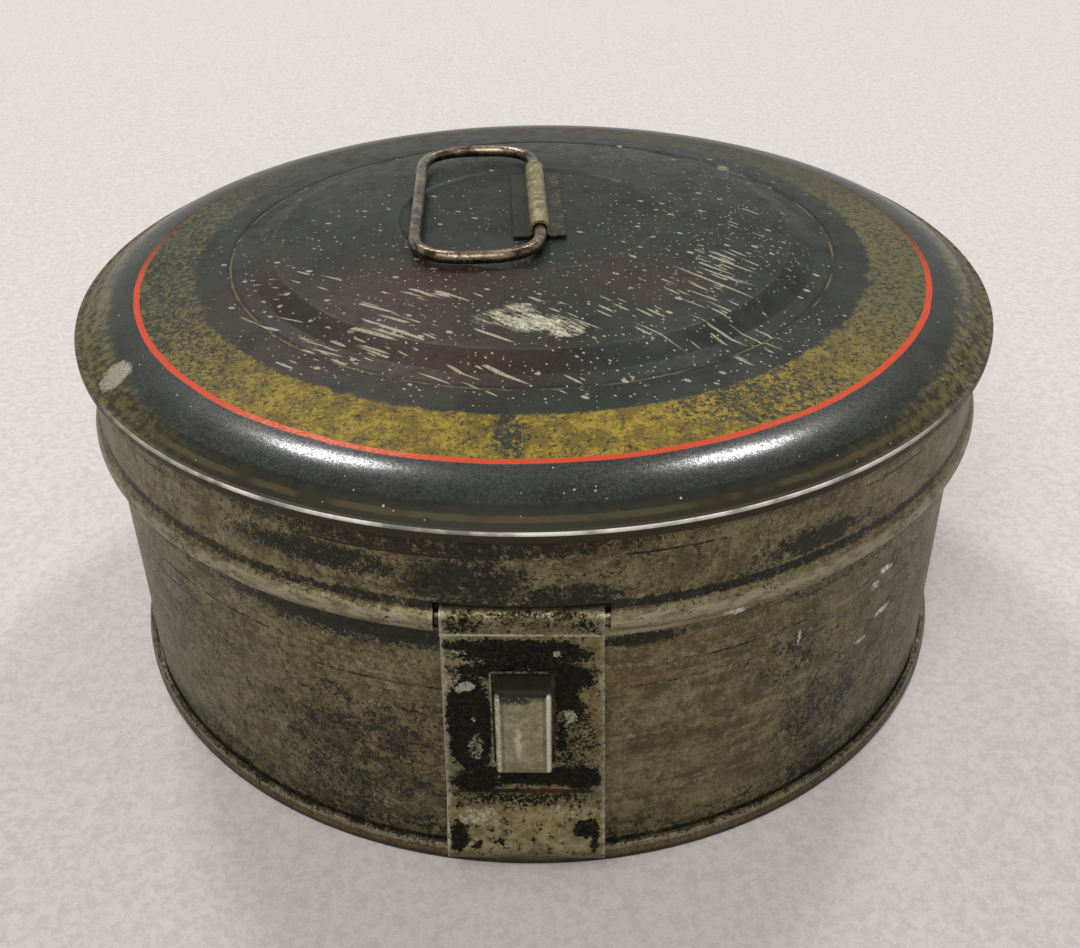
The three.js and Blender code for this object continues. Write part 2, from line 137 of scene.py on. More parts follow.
class Tree:
    """A node tree: one method adds any node, and the others name the common ones."""

    def __init__(self, tree: bpy.types.NodeTree) -> None:
        """Keeps the tree."""
        self.tree = tree

    def bare_node(self, kind: str, settings: Settings, inputs: Inputs) -> bpy.types.Node:
        """Adds one node.

        Args:
            kind: The node's type.
            settings: What is set on the node itself, before its sockets.
            inputs: Numbers, triples or outputs for its sockets.

        Returns:
            The node.
        """
        made = self.tree.nodes.new(kind)
        for key, setting in settings.items():
            setattr(made, key, setting)
        for key, value in inputs.items():
            socket = made.inputs[key]
            if isinstance(value, Value):
                self.tree.links.new(value.socket, socket)
            elif socket.type == "RGBA":
                socket.default_value = (*value, 1.0)
            else:
                socket.default_value = value
        return made

    def node(self, kind: str, settings: Settings, inputs: Inputs, output: int | str = 0) -> Value:
        """Adds one node and gives back the chosen output."""
        return Value(self, self.bare_node(kind, settings, inputs).outputs[output])

    def math(self, operation: str, first: Input, second: Input = 0.0) -> Value:
        """Adds a Math node of one or two numbers."""
        return self.node("ShaderNodeMath", {"operation": operation}, {0: first, 1: second})

    def vector(self, operation: str, first: Input, second: Input = (0.0, 0.0, 0.0), scale: float = 1.0) -> Value:
        """Adds a Vector Math node."""
        inputs = {0: first, "Scale": scale} if operation == "SCALE" else {0: first, 1: second}
        return self.node("ShaderNodeVectorMath", {"operation": operation}, inputs)

    def length(self, vector: Value) -> Value:
        """Length of a vector."""
        return self.node("ShaderNodeVectorMath", {"operation": "LENGTH"}, {0: vector}, "Value")

    def parts(self, vector: Value) -> tuple[Value, Value, Value]:
        """Splits a vector into its three numbers."""
        outputs = self.bare_node("ShaderNodeSeparateXYZ", {}, {0: vector}).outputs
        return Value(self, outputs[0]), Value(self, outputs[1]), Value(self, outputs[2])

    def smooth(self, value: Value, low: float, high: float) -> Value:
        """Rises softly from 0 at low to 1 at high, or falls where low is above high."""
        return self.node("ShaderNodeMapRange", {"interpolation_type": "SMOOTHSTEP"}, {0: value, 1: low, 2: high})

    def band(self, value: Value, low: float, high: float, soft: float) -> Value:
        """1 from low to high, with soft edges outside them."""
        return self.smooth(value, low - soft, low) * self.smooth(value, high + soft, high)

    def blend(self, share: Value | float, first: Input, second: Input) -> Value:
        """Mixes two colours, from the first at 0 to the second at 1."""
        settings = {"data_type": "RGBA", "clamp_factor": True}
        return self.node("ShaderNodeMix", settings, {0: share, 6: first, 7: second}, 2)

    def level(self, share: Value, first: Input, second: Input) -> Value:
        """Mixes two numbers, from the first at 0 to the second at 1."""
        settings = {"data_type": "FLOAT", "clamp_factor": True}
        return self.node("ShaderNodeMix", settings, {0: share, 2: first, 3: second}, 0)

    def layers(self, colour: Input, *coats: tuple[Value | float, Input]) -> Value:
        """Lays coats over a colour in their order, each a mask and its colour."""
        for share, coat in coats:
            colour = self.blend(share, colour, coat)
        return colour


class Graph(Tree):
    """The node tree of one material, with places in millimetres."""

    def __init__(self, name: str) -> None:
        """Starts an empty material and reads the object's own coordinates.

        Args:
            name: The material's name.
        """
        self.material = bpy.data.materials.new(name)
        self.material.use_nodes = True
        super().__init__(self.material.node_tree)
        self.tree.nodes.clear()
        self.place = self.vector("SCALE", self.node("ShaderNodeTexCoord", {}, {}, "Object"), scale=1 / MM)
        self.x, self.y, self.z = self.parts(self.place)
        self.radius = self.length(self.vector("MULTIPLY", self.place, (1.0, 1.0, 0.0)))
        self.azimuth = self.math("ARCTAN2", self.x, self.y * -1) * math.degrees(1)

    def turned(self, degrees: float, stretch: Triple, seed: float) -> Value:
        """The place turned about Z, stretched along the new axes and moved by the seed."""
        settings = {"rotation_type": "Z_AXIS"}
        inputs = {"Vector": self.place, "Angle": math.radians(degrees)}
        moved = self.node("ShaderNodeVectorRotate", settings, inputs)
        moved = self.vector("MULTIPLY", moved, stretch)
        return self.vector("ADD", moved, tuple(seed * step for step in SEED_STEPS))

    def noise(
        self,
        scale: float,
        detail: float = 4.0,
        rough: float = 0.55,
        stretch: Triple = (1.0, 1.0, 1.0),
        seed: float = 0.0,
        output: int = 0,
        degrees: float = 0.0,
    ) -> Value:
        """Cloudy noise, with scale in clouds per millimetre.

        Args:
            scale: Clouds per millimetre.
            detail: Number of finer layers.
            rough: Strength of the finer layers.
            stretch: Factor on each axis.
            seed: Moves the pattern.
            output: 0 for a number, 1 for a colour.
            degrees: Turn about Z before the stretch.

        Returns:
            The noise, about 0.5 on the mean.
        """
        place = self.turned(degrees, stretch, seed)
        inputs = {"Vector": place, "Scale": scale, "Detail": detail, "Roughness": rough}
        return self.node("ShaderNodeTexNoise", {"noise_dimensions": "3D"}, inputs, output)

    def clouds(self, scale: float, detail: float, rough: float, seed: float, low: float, high: float) -> Value:
        """Cloudy noise cut softly to a mask, 0 at low and 1 at high."""
        return self.smooth(self.noise(scale, detail, rough, seed=seed), low, high)

    def wrapped(self, along: float, up: float, seed: float = 0.0, detail: float = 3.0) -> Value:
        """Noise in streaks round the tin: along in clouds per degree, up in clouds per millimetre."""
        inputs = {0: self.azimuth * along, 1: self.radius * up, 2: self.z * up + seed}
        place = self.node("ShaderNodeCombineXYZ", {}, inputs)
        return self.node("ShaderNodeTexNoise", {}, {"Vector": place, "Scale": 1.0, "Detail": detail})

    def flecks(self, marks: "Marks", share: Value | float) -> Value:
        """Small marks on the lid, one to a cell at most.

        Args:
            marks: Their size, turn and length.
            share: Share of the cells that hold a mark.

        Returns:
            A mask of the marks.
        """
        place = self.turned(marks.degrees, (marks.stretch, 1.0, 0.0), marks.seed)
        inputs = {"Vector": place, "Scale": 1 / marks.cell}
        cells = self.bare_node("ShaderNodeTexVoronoi", {"voronoi_dimensions": "2D"}, inputs).outputs
        near = Value(self, cells["Distance"])
        chance, fill, _ = self.parts(Value(self, cells["Color"]))
        edge = (fill * (1 - LEAST_FLECK) + LEAST_FLECK) * marks.size
        inside = self.smooth(near - edge, *(marks.size * share for share in FLECK_EDGE))
        return inside * self.smooth(chance - share, 0.0, -0.02)

    def ragged(self, reach: float, scale: float, seed: float = 0.0) -> Value:
        """The place shaken by noise, which gives a mask torn edges."""
        shake = self.vector("SUBTRACT", self.noise(scale, 5.0, 0.7, seed=seed, output=1), (0.5, 0.5, 0.5))
        return self.vector("ADD", self.place, self.vector("SCALE", shake, scale=2 * reach))

    def spot(self, place: Value, centre: Triple, half: Triple, soft: float = 0.3) -> Value:
        """An oval patch: 1 where the distance from the centre, in halves, is under 1."""
        away = self.length(self.vector("DIVIDE", self.vector("SUBTRACT", place, centre), half))
        return self.smooth(away, 1 + soft, 1 - soft)

    def spots(self, place: Value, patches: tuple["Patch", ...], flat: bool = False) -> Value:
        """The union of several oval patches.

        Args:
            place: The place, usually a ragged one.
            patches: The patches.
            flat: True where a patch's second axis is Y, and false where it is Z.

        Returns:
            The mask.
        """
        masks = []
        for patch in patches:
            centre = (patch.across, patch.along, 0.0) if flat else (patch.across, 0.0, patch.along)
            half = (patch.width, patch.length, FAR) if flat else (patch.width, FAR, patch.length)
            masks.append(self.spot(place, centre, half, patch.soft) * patch.strength)
        return reduce(or_, masks)

    def surface(self, look: "Surface") -> Finish:
        """Ends the graph in one Principled shader.

        Args:
            look: What feeds the shader.

        Returns:
            The finished material.
        """
        bump_inputs = {"Strength": look.relief, "Distance": look.depth * MM, "Height": look.height}
        normal = self.node("ShaderNodeBump", {}, bump_inputs)
        inputs = {
            "Base Color": look.colour,
            "Metallic": look.metallic,
            "Roughness": look.roughness,
            "Normal": normal,
            "Coat Weight": look.coat,
            "Coat Roughness": look.coat_roughness,
            "Specular IOR Level": look.specular,
        }
        shader = self.node("ShaderNodeBsdfPrincipled", {}, inputs)
        self.bare_node("ShaderNodeOutputMaterial", {}, {"Surface": shader})
        return self.material


# Finishes


@dataclass(frozen=True)
class Patch:
    """An oval mark on the lid, in X and Y, or on the front, in X and Z."""

    across: float
    along: float
    width: float
    length: float
    strength: float = 1.0
    soft: float = 0.3


def ovals(*rows: tuple[float, ...]) -> tuple[Patch, ...]:
    """Patches from rows of across, along, half width, half length, strength and softness."""
    return tuple(Patch(*row) for row in rows)


@dataclass(frozen=True)
class Marks:
    """Scratches or specks: cell in millimetres, half width in cells, turn, and a stretch under 1 for long ones."""

    cell: float
    size: float
    degrees: float
    stretch: float
    seed: float


@dataclass(frozen=True)
class Surface:
    """What feeds a Principled shader. Relief is the bump's strength, and depth its height in millimetres."""

    colour: Input
    metallic: Input
    roughness: Input
    height: Input
    relief: float = 0.5
    depth: float = 0.2
    coat: Input = 0.0
    coat_roughness: float = 0.1
    specular: float = 0.5


@dataclass(frozen=True)
class LidJapanning:
    """Black japan with a gold band and a red line, scratched through to the tin."""

    black: Colour = (0.007, 0.008, 0.0065)
    cloudy: Colour = (0.02, 0.022, 0.017)
    green: Colour = (0.014, 0.02, 0.013)
    underlayer: Colour = (0.05, 0.022, 0.016)
    gold: Colour = (0.26, 0.185, 0.016)
    dull_gold: Colour = (0.12, 0.08, 0.008)
    olive: Colour = (0.1, 0.085, 0.03)
    grime: Colour = (0.022, 0.019, 0.011)
    red: Colour = (0.46, 0.045, 0.01)
    highlight_pink: Colour = (0.6, 0.2, 0.12)
    tin: Colour = (0.47, 0.445, 0.36)
    rim_tin: Colour = (0.5, 0.48, 0.42)
    tan: Colour = (0.13, 0.1, 0.045)
    wear: Colour = (0.12, 0.1, 0.045)
    rim_corner: Pair = (167.045, 167.058)
    shoulder_radius: float = 80.2
    shoulder_speck_radii: Pair = (79.9, 80.4)
    scratch_radii: Pair = (67.6, 66.8)
    tan_radii: Pair = (89.4, 89.9)
    lower_edge: Pair = (75.6, 76.2)
    line_radius: float = 79.4
    line_half_width: float = 0.48
    band_inner_radius: float = 68.0
    edge_radius: float = 88.3
    edge_side_radius: float = 84.6
    wear_rings: tuple[Pair, ...] = ((27.1, 0.1), (52.4, 0.15), (61.0, 0.8))
    brown_patches: tuple[Patch, ...] = ovals(
        (-20, -33, 18, 11, 1.0, 0.9), (-31, -48, 17, 9, 0.8, 0.9), (20, -30, 12, 8, 0.7, 0.9),
        (-12, -54, 17, 8, 0.9, 0.9), (-52, -28, 9, 14, 0.6, 0.9),
    )
    pale_patches: tuple[Patch, ...] = ovals(
        (-4.5, -43.5, 4.5, 2.4, 0.9, 0.4), (2.0, -45.0, 6.0, 2.6, 1.0, 0.35), (7.0, -47.4, 3.0, 1.6, 1.0, 0.3),
        (-1.0, -40.6, 3.0, 1.6, 0.8, 0.4),
    )
    chips: tuple[Patch, ...] = ovals((-73, -48, 3.0, 3.2, 1.0, 0.15), (44, 42, 1.3, 2.0, 0.6, 0.5))
    scratch_zones: tuple[Patch, ...] = ovals(
        (-20, -39, 11, 6, 0.7, 0.5), (2, -44, 10, 6, 0.6, 0.5), (14, -43, 10, 8, 0.62, 0.5),
        (29, -33, 8, 7, 0.85, 0.5), (36, -23, 6, 9, 1.0, 0.5), (41, -11, 5, 9, 0.72, 0.5),
        (45, 3, 4, 8, 0.3, 0.5), (-31, -48, 15, 5, 0.72, 0.5), (-45, -28, 10, 10, 0.4, 0.6),
        (-2, -58, 14, 4.5, 0.4, 0.5), (37, -48, 10, 7, 0.45, 0.5),
    )
    speck_zones: tuple[Patch, ...] = ovals(
        (0, -44, 60, 26, 0.22, 0.3), (34, -10, 22, 26, 0.26, 0.4), (-30, -10, 34, 30, 0.12, 0.5),
        (-10, 20, 60, 30, 0.05, 0.5), (34, 32, 24, 22, 0.12, 0.5),
    )
    band_gaps: tuple[Patch, ...] = ovals((-2, -73, 3.0, 6, 0.11, 0.4), (40, -62, 17, 9, 0.06, 0.6))
    scratches: tuple[Marks, ...] = (
        Marks(2.3, 0.17, 33, 0.035, 2), Marks(1.7, 0.19, 30, 0.06, 5), Marks(1.2, 0.22, 36, 0.13, 7),
    )
    specks: tuple[Marks, ...] = (
        Marks(2.5, 0.16, 25, 0.55, 9), Marks(1.2, 0.15, 0, 1.0, 12), Marks(1.4, 0.15, 40, 0.7, 15),
    )
    shoulder_specks: Marks = Marks(1.6, 0.12, 0, 1.0, 30)

    def material(self) -> Finish:
        """Builds the finish."""
        g = Graph("lid_japanning")
        fine = g.noise(1.6, 4, 0.75, seed=3)
        colour, gold = self._layers(g, fine)
        bare = self._bare(g, fine)
        rim = g.smooth(g.radius + g.z, *self.rim_corner) * g.smooth(abs(g.azimuth), 62, 30)
        rim = rim * g.level(g.smooth(g.wrapped(0.25, 0.2, 4), 0.34, 0.6), 0.25, 1.0)
        tin = g.blend(g.smooth(fine, 0.3, 0.7), self.tin, self.olive)
        colour = g.layers(colour, (bare, tin), (rim, self.rim_tin))
        shoulder = g.band(g.radius, self.shoulder_radius, self.edge_radius - 1, 0.5)
        rubbed = g.clouds(0.3, 4, 0.7, 11, 0.35, 0.7)
        gloss = g.level(shoulder, g.level(rubbed, 0.38, 0.52), 0.3)
        roughness = g.level(bare | rim | gold, gloss, 0.5)
        height = (1 - bare) * 0.5 + fine * 0.25 + g.noise(0.12, 2, 0.5, seed=2) * 1.1
        metallic = (bare * 0.5) | (rim * 0.35)
        grain = g.noise(2.6, 3, 0.8, seed=23) * 0.6 + fine * 0.4
        coat = shoulder * (1 - bare) * g.level(g.smooth(grain, 0.44, 0.58), 0.2, 1.0)
        coat = coat * g.level(g.smooth(abs(g.azimuth), 30, 65), 1.0, 0.3)
        return g.surface(Surface(colour, metallic, roughness, height, 0.35, 0.25, coat, 0.16, specular=0.12))

    def paint(self, g: Graph) -> Value:
        """Mixes the cloudy greenish black. It runs on over the handle's soldered feet."""
        mottle = g.noise(0.07, 5, 0.7, seed=1) + (g.noise(1.6, 4, 0.75, seed=3) - 0.5) * 0.4
        colour = g.blend(g.smooth(mottle, 0.38, 0.66), self.black, self.cloudy)
        return g.blend(g.clouds(0.11, 4, 0.75, 19, 0.45, 0.62) * 0.7, colour, self.green)

    def _layers(self, g: Graph, fine: Value) -> tuple[Value, Value]:
        """Lays the paint, the brown underlayer, the band, the line with a painted highlight on it at the left front,
        and the worn edge.

        Args:
            g: The material's graph.
            fine: Fine noise.

        Returns:
            The colour and the mask of the band.
        """
        side = abs(g.azimuth)
        colour = self.paint(g)
        brown = g.spots(g.ragged(5.0, 0.16, 1), self.brown_patches, True)
        colour = g.blend(brown * g.smooth(fine, 0.25, 0.7), colour, self.underlayer)
        ragged = g.noise(0.35, 6, 0.8, seed=5) - 0.5
        inner = g.radius + ragged * g.level(g.smooth(side, 20, 60), 3.0, 8.0)
        ring = g.smooth(inner, self.band_inner_radius - 0.4, self.band_inner_radius + 0.4)
        ring = ring * g.smooth(g.radius, self.line_radius - 0.1, self.line_radius - 0.5)
        worn = g.noise(0.95, 6, 0.85, seed=8) + g.smooth(side, 20, 75) * 0.035
        worn = worn + g.smooth(g.azimuth, -20, -75) * 0.05 + g.spots(g.place, self.band_gaps, True)
        whole = g.smooth(worn, 0.58, 0.545) * g.level(g.smooth(side, 95, 140), 1.0, 0.25)
        gold = ring * whole
        mixed = g.noise(0.28, 5, 0.75, seed=6) + (fine - 0.5) * 0.6
        tone = g.blend(g.smooth(mixed, 0.38, 0.58), self.gold, self.dull_gold)
        tone = g.blend(g.smooth(side, 25, 75), tone, self.olive)
        pits = g.clouds(1.3, 5, 0.85, 33, 0.56, 0.6)
        wave = g.radius + (g.noise(0.06, 2, 0.5, seed=13) - 0.5) * 0.7
        half = self.line_half_width
        line = g.band(wave, self.line_radius - half, self.line_radius + half, 0.2)
        line = line * g.level(g.smooth(side, 76, 100), 1.0, 0.08) * g.smooth(fine, 0.3, 0.36)
        # Painted highlight: the smear mask turns the red line pink at the left front, where the left lamp's highlight
        # falls on the shoulder.
        smear = g.smooth(abs(g.azimuth + 24), 18, 6) * g.smooth(fine, 0.4, 0.6)
        edge = g.level(g.smooth(side, 32, 78), self.edge_radius, self.edge_side_radius)
        torn = g.noise(0.3, 6, 0.8, seed=16) - 0.5
        outer = g.smooth(g.radius + torn * 5 - edge, -0.7, 0.9)
        patchy = g.clouds(0.55, 6, 0.8, 17, 0.44, 0.58)
        worn_edge = g.blend(patchy * g.smooth(side, 28, 60), self.grime, self.olive)
        tan = g.band(g.radius + torn * 0.8, *self.tan_radii, 0.35) * g.smooth(g.wrapped(0.2, 0.1, 3), 0.36, 0.55)
        colour = g.layers(
            colour,
            (gold * (1 - pits * 0.75), tone),
            (line, g.blend(smear * 0.7, self.red, self.highlight_pink)),
            (outer, worn_edge),
            (tan * 0.3, self.tan),
        )
        for radius, strength in self.wear_rings:
            thin = g.band(g.radius, radius - 0.1, radius + 0.1, 0.22)
            thin = thin * g.smooth(g.wrapped(0.15, 0.1, radius), 0.38, 0.6)
            colour = g.blend(thin * strength, colour, self.wear)
        return colour, gold

    def _bare(self, g: Graph, fine: Value) -> Value:
        """Finds where scratches, specks and chips reach the tin.

        Args:
            g: The material's graph.
            fine: Fine noise.

        Returns:
            A mask of the bare places.
        """
        zones = g.spots(g.place, self.scratch_zones, True)
        crowd = g.spots(g.place, self.speck_zones, True)
        marks = g.smooth(g.radius, *self.scratch_radii)
        bare: Value | float = 0.0
        for scratch in self.scratches:
            bare = g.flecks(scratch, zones) | bare
        for speck in self.specks:
            bare = g.flecks(speck, crowd + 0.015) | bare
        hatch = g.noise(1.0, 5, 0.8, (0.12, 1.0, 1.0), 21, 0, 33)
        pale = g.spots(g.ragged(1.4, 0.5, 3), self.pale_patches, True)
        pale = pale * g.smooth(hatch + pale * 0.1, 0.52, 0.58)
        chip = g.spots(g.ragged(1.6, 0.55, 3), self.chips, True) * g.smooth(fine, 0.3, 0.5)
        bare = bare * g.level(g.smooth(fine, 0.38, 0.5), 0.35, 1.0)
        shoulder = g.flecks(self.shoulder_specks, 0.05) * g.smooth(g.radius, *self.shoulder_speck_radii)
        return ((bare * marks) | pale | chip | shoulder) * g.smooth(g.z, *self.lower_edge)


@dataclass(frozen=True)
class DrumJapanning:
    """Tinplate under a thin brown lacquer, with the black japan worn to blotches, painted shade laid with the black,
    and a painted highlight and sheen.
    """

    tin: Colour = (0.182, 0.158, 0.082)
    dull: Colour = (0.083, 0.069, 0.033)
    pale: Colour = (0.34, 0.31, 0.215)
    sheen_grey: Colour = (0.145, 0.148, 0.12)
    brown: Colour = (0.06, 0.032, 0.018)
    black: Colour = (0.01, 0.0085, 0.006)
    greenish: Colour = (0.019, 0.018, 0.012)
    rust: Colour = (0.14, 0.055, 0.016)
    white: Colour = (0.7, 0.68, 0.6)
    foot_radii: Pair = (89.2, 89.6)
    wall_radii: Pair = (89.2, 88.8)
    neck_radii: Pair = (89.0, 88.7)
    bead_radii: Pair = (90.7, 91.3)
    bead_span: Pair = (54.3, 59.3)
    shoulder_span: Pair = (52.2, 53.6)
    foot_edge_span: Pair = (2.8, 3.4)
    crevice_span: Pair = (59.3, 60.2)
    lid_edge_shade_span: Pair = (72.2, 73.2)
    rolled_lines: tuple[Triple, ...] = ((40.3, 40.5, 0.2), (69.2, 69.45, 0.2), (44.3, 44.5, 0.25))
    blotch_and_shade_zones: tuple[Patch, ...] = ovals(
        (-30, 22, 17, 15, 0.08, 0.6), (0, 66, 32, 8, 0.035, 0.6), (-19, 30, 6, 9, 0.05, 0.6),
        (-28, 51.0, 20, 3.4, 0.105, 0.5), (-32, 66.2, 14, 2.4, 0.15, 0.6), (-15, 71.6, 34, 2.6, 0.13, 0.5),
        # The first two zones on the line below are painted shade above the hasp's notch, mixed with black japan.
        (-8, 64.5, 10, 4.6, 0.15, 0.6), (8, 62.0, 9, 2.6, 0.14, 0.5), (-62, 30, 16, 26, 0.03, 0.6),
        (47, 63.6, 9, 2.6, 0.13, 0.6), (36, 60.8, 24, 1.2, 0.05, 0.5), (19, 50.4, 6, 1.4, 0.15, 0.5),
        (45, 37, 9, 7, 0.06, 0.6), (54, 19, 9, 12, 0.085, 0.6), (70, 30, 12, 24, 0.05, 0.6),
    )
    clean_zones: tuple[Patch, ...] = ovals(
        (26, 28, 13, 20, 0.05, 0.6), (-22, 42, 8, 5, 0.05, 0.6), (26, 52.8, 12, 0.9, 0.1, 0.4),
    )
    rust_patches: tuple[Patch, ...] = ovals(
        (20.5, 42, 3.2, 1.8, 0.6, 0.7), (17, 42, 3, 3, 0.3, 0.9), (36, 52.6, 9, 0.7, 0.9, 0.6),
        (27, 49, 9, 1.2, 0.4, 0.7), (-24, 27, 10, 9, 0.2, 0.9), (10, 72.0, 12, 1.6, 0.35, 0.8),
        (-26, 70, 14, 2, 0.3, 0.8),
    )
    white_patches: tuple[Patch, ...] = ovals(
        (64.6, 44.4, 1.3, 0.6, 1.0, 0.4), (62.6, 42.0, 0.6, 0.9, 0.8, 0.5), (65, 34.4, 1.5, 0.6, 1.0, 0.4),
        (61, 31, 1.2, 0.5, 0.8, 0.5), (34.5, 52.2, 1.8, 0.4, 0.9, 0.4), (47, 41, 0.3, 1.6, 0.6, 0.5),
    )

    def material(self) -> Finish:
        """Builds the finish."""
        g = Graph("drum_japanning")
        fine = g.noise(1.7, 4, 0.85, seed=3)
        cloud = g.noise(0.16, 6, 0.8, seed=1)
        streaks = g.wrapped(0.08, 1.1, 2.0, 4)
        front = g.smooth(g.y, 5, -20)
        grain = (fine - 0.5) * 0.7
        rubbed = g.smooth(g.noise(0.6, 6, 0.85, seed=5) + (streaks - 0.5) * 0.3, 0.53, 0.62)
        # Painted sheen: grey clouds that grow towards the tin's sides.
        side_sheen = g.clouds(0.3, 6, 0.85, 15, 0.48, 0.58) * g.smooth(abs(g.azimuth), 20, 60)
        tint = g.clouds(0.7, 5, 0.85, 18, 0.5, 0.6)
        low = g.smooth(g.radius, *self.foot_radii)
        bead = g.smooth(g.radius, *self.bead_radii) * g.band(g.z, *self.bead_span, 0.5)
        bead = bead * g.level(g.smooth(g.wrapped(0.35, 0.8, 9, 4), 0.38, 0.58), 0.15, 0.85)
        foot = low * g.band(g.z, *self.foot_edge_span, 0.25) * g.smooth(fine, 0.36, 0.55)
        # Painted highlight on the rounded shoulder under the bead, right of the hasp, laid in the pale colour.
        shoulder_highlight = g.band(g.z, *self.shoulder_span, 0.4) * g.band(g.azimuth, 8, 40, 5)
        shoulder_highlight = shoulder_highlight * g.smooth(g.radius, *self.neck_radii)
        blotch_and_shade = self._blotches_and_shade(g, streaks, front)
        shade = g.blend(g.clouds(0.9, 5, 0.85, 21, 0.46, 0.6), self.black, self.greenish)
        rust = g.spots(g.ragged(1.8, 0.5, 2), self.rust_patches) * front * g.smooth(fine, 0.35, 0.6)
        chips = g.spots(g.ragged(1.4, 0.8, 4), self.white_patches) * front * g.smooth(fine, 0.44, 0.5)
        colour = g.layers(
            g.blend(g.smooth(cloud + (streaks - 0.5) * 0.25 + grain, 0.38, 0.6), self.dull, self.tin),
            (rubbed * 0.4, self.pale),
            (side_sheen * 0.5, self.sheen_grey),
            (tint * g.level(g.smooth(g.x, 5, -10), 0.45, 0.75), self.brown),
            (low * g.smooth(g.z, 5, 4) * 0.45, self.brown),
            (low * g.smooth(g.z, 1.9, 0.9) * 0.7, self.black),
            ((bead * 0.75) | (shoulder_highlight * 0.6) | (foot * 0.45), self.pale),
            (blotch_and_shade, shade),
            (rust * (1 - blotch_and_shade * 0.8), self.rust),
            (chips, self.white),
        )
        metallic = g.level(blotch_and_shade, 0.7, 0.0) * (1 - (rust | chips))
        roughness = g.level(blotch_and_shade, g.level(fine, 0.36, 0.6), 0.42)
        height = blotch_and_shade * 0.5 + fine * 0.5 + cloud * 1.2 + streaks * 0.15
        return g.surface(Surface(colour, metallic, roughness, height, 0.4, 0.25, specular=0.15))

    def _blotches_and_shade(self, g: Graph, streaks: Value, front: Value) -> Value:
        """Finds where the black is left, and where painted shade is laid with it: cloudy noise, raised in the zones,
        the corners and the thin rolled lines. The raise above the hasp's notch, under the bead and on the skirt under
        the lid's edge is painted shade.

        Args:
            g: The material's graph.
            streaks: Noise in streaks round the tin.
            front: 1 on the tin's front.

        Returns:
            A mask of the black and of the painted shade.
        """
        raised = g.spots(g.place, self.blotch_and_shade_zones) * front
        cleaned = g.spots(g.place, self.clean_zones) * front
        wall = g.smooth(g.radius, *self.wall_radii)
        bias = raised - cleaned + g.band(g.z, 50.2, 54.2, 0.8) * 0.05 * wall
        bias = bias + g.band(g.z, 3.9, 8, 2.5) * 0.06 * wall + g.band(g.z, 3.4, 4.1, 0.2) * 0.07
        crevice = g.band(g.z, *self.crevice_span, 0.7) * g.smooth(g.radius, 90.9, 90.5) * 0.12
        # Painted shade under the bead: the under mask darkens what stands out past the wall just below it.
        under = g.band(g.z, 45, 54.4, 0.3) * g.smooth(g.radius, 89, 89.6)
        # The raise at the top is painted shade on the skirt just under the lid's overhanging edge.
        bias = bias + crevice + g.smooth(g.z, *self.lid_edge_shade_span) * 0.12 + under * 0.2
        lines = reduce(or_, [g.band(g.z, *line) for line in self.rolled_lines])
        bias = bias + lines * g.smooth(g.wrapped(0.05, 0.1, 5), 0.42, 0.6) * 0.14
        noise = g.noise(0.26, 7, 0.88, seed=7) * 0.5 + g.noise(0.95, 5, 0.88, seed=8) * 0.5
        noise = noise + (g.noise(2.6, 3, 0.8, seed=28) - 0.5) * 0.3
        return g.smooth(noise + (streaks - 0.5) * 0.14 + bias, 0.56, 0.595)


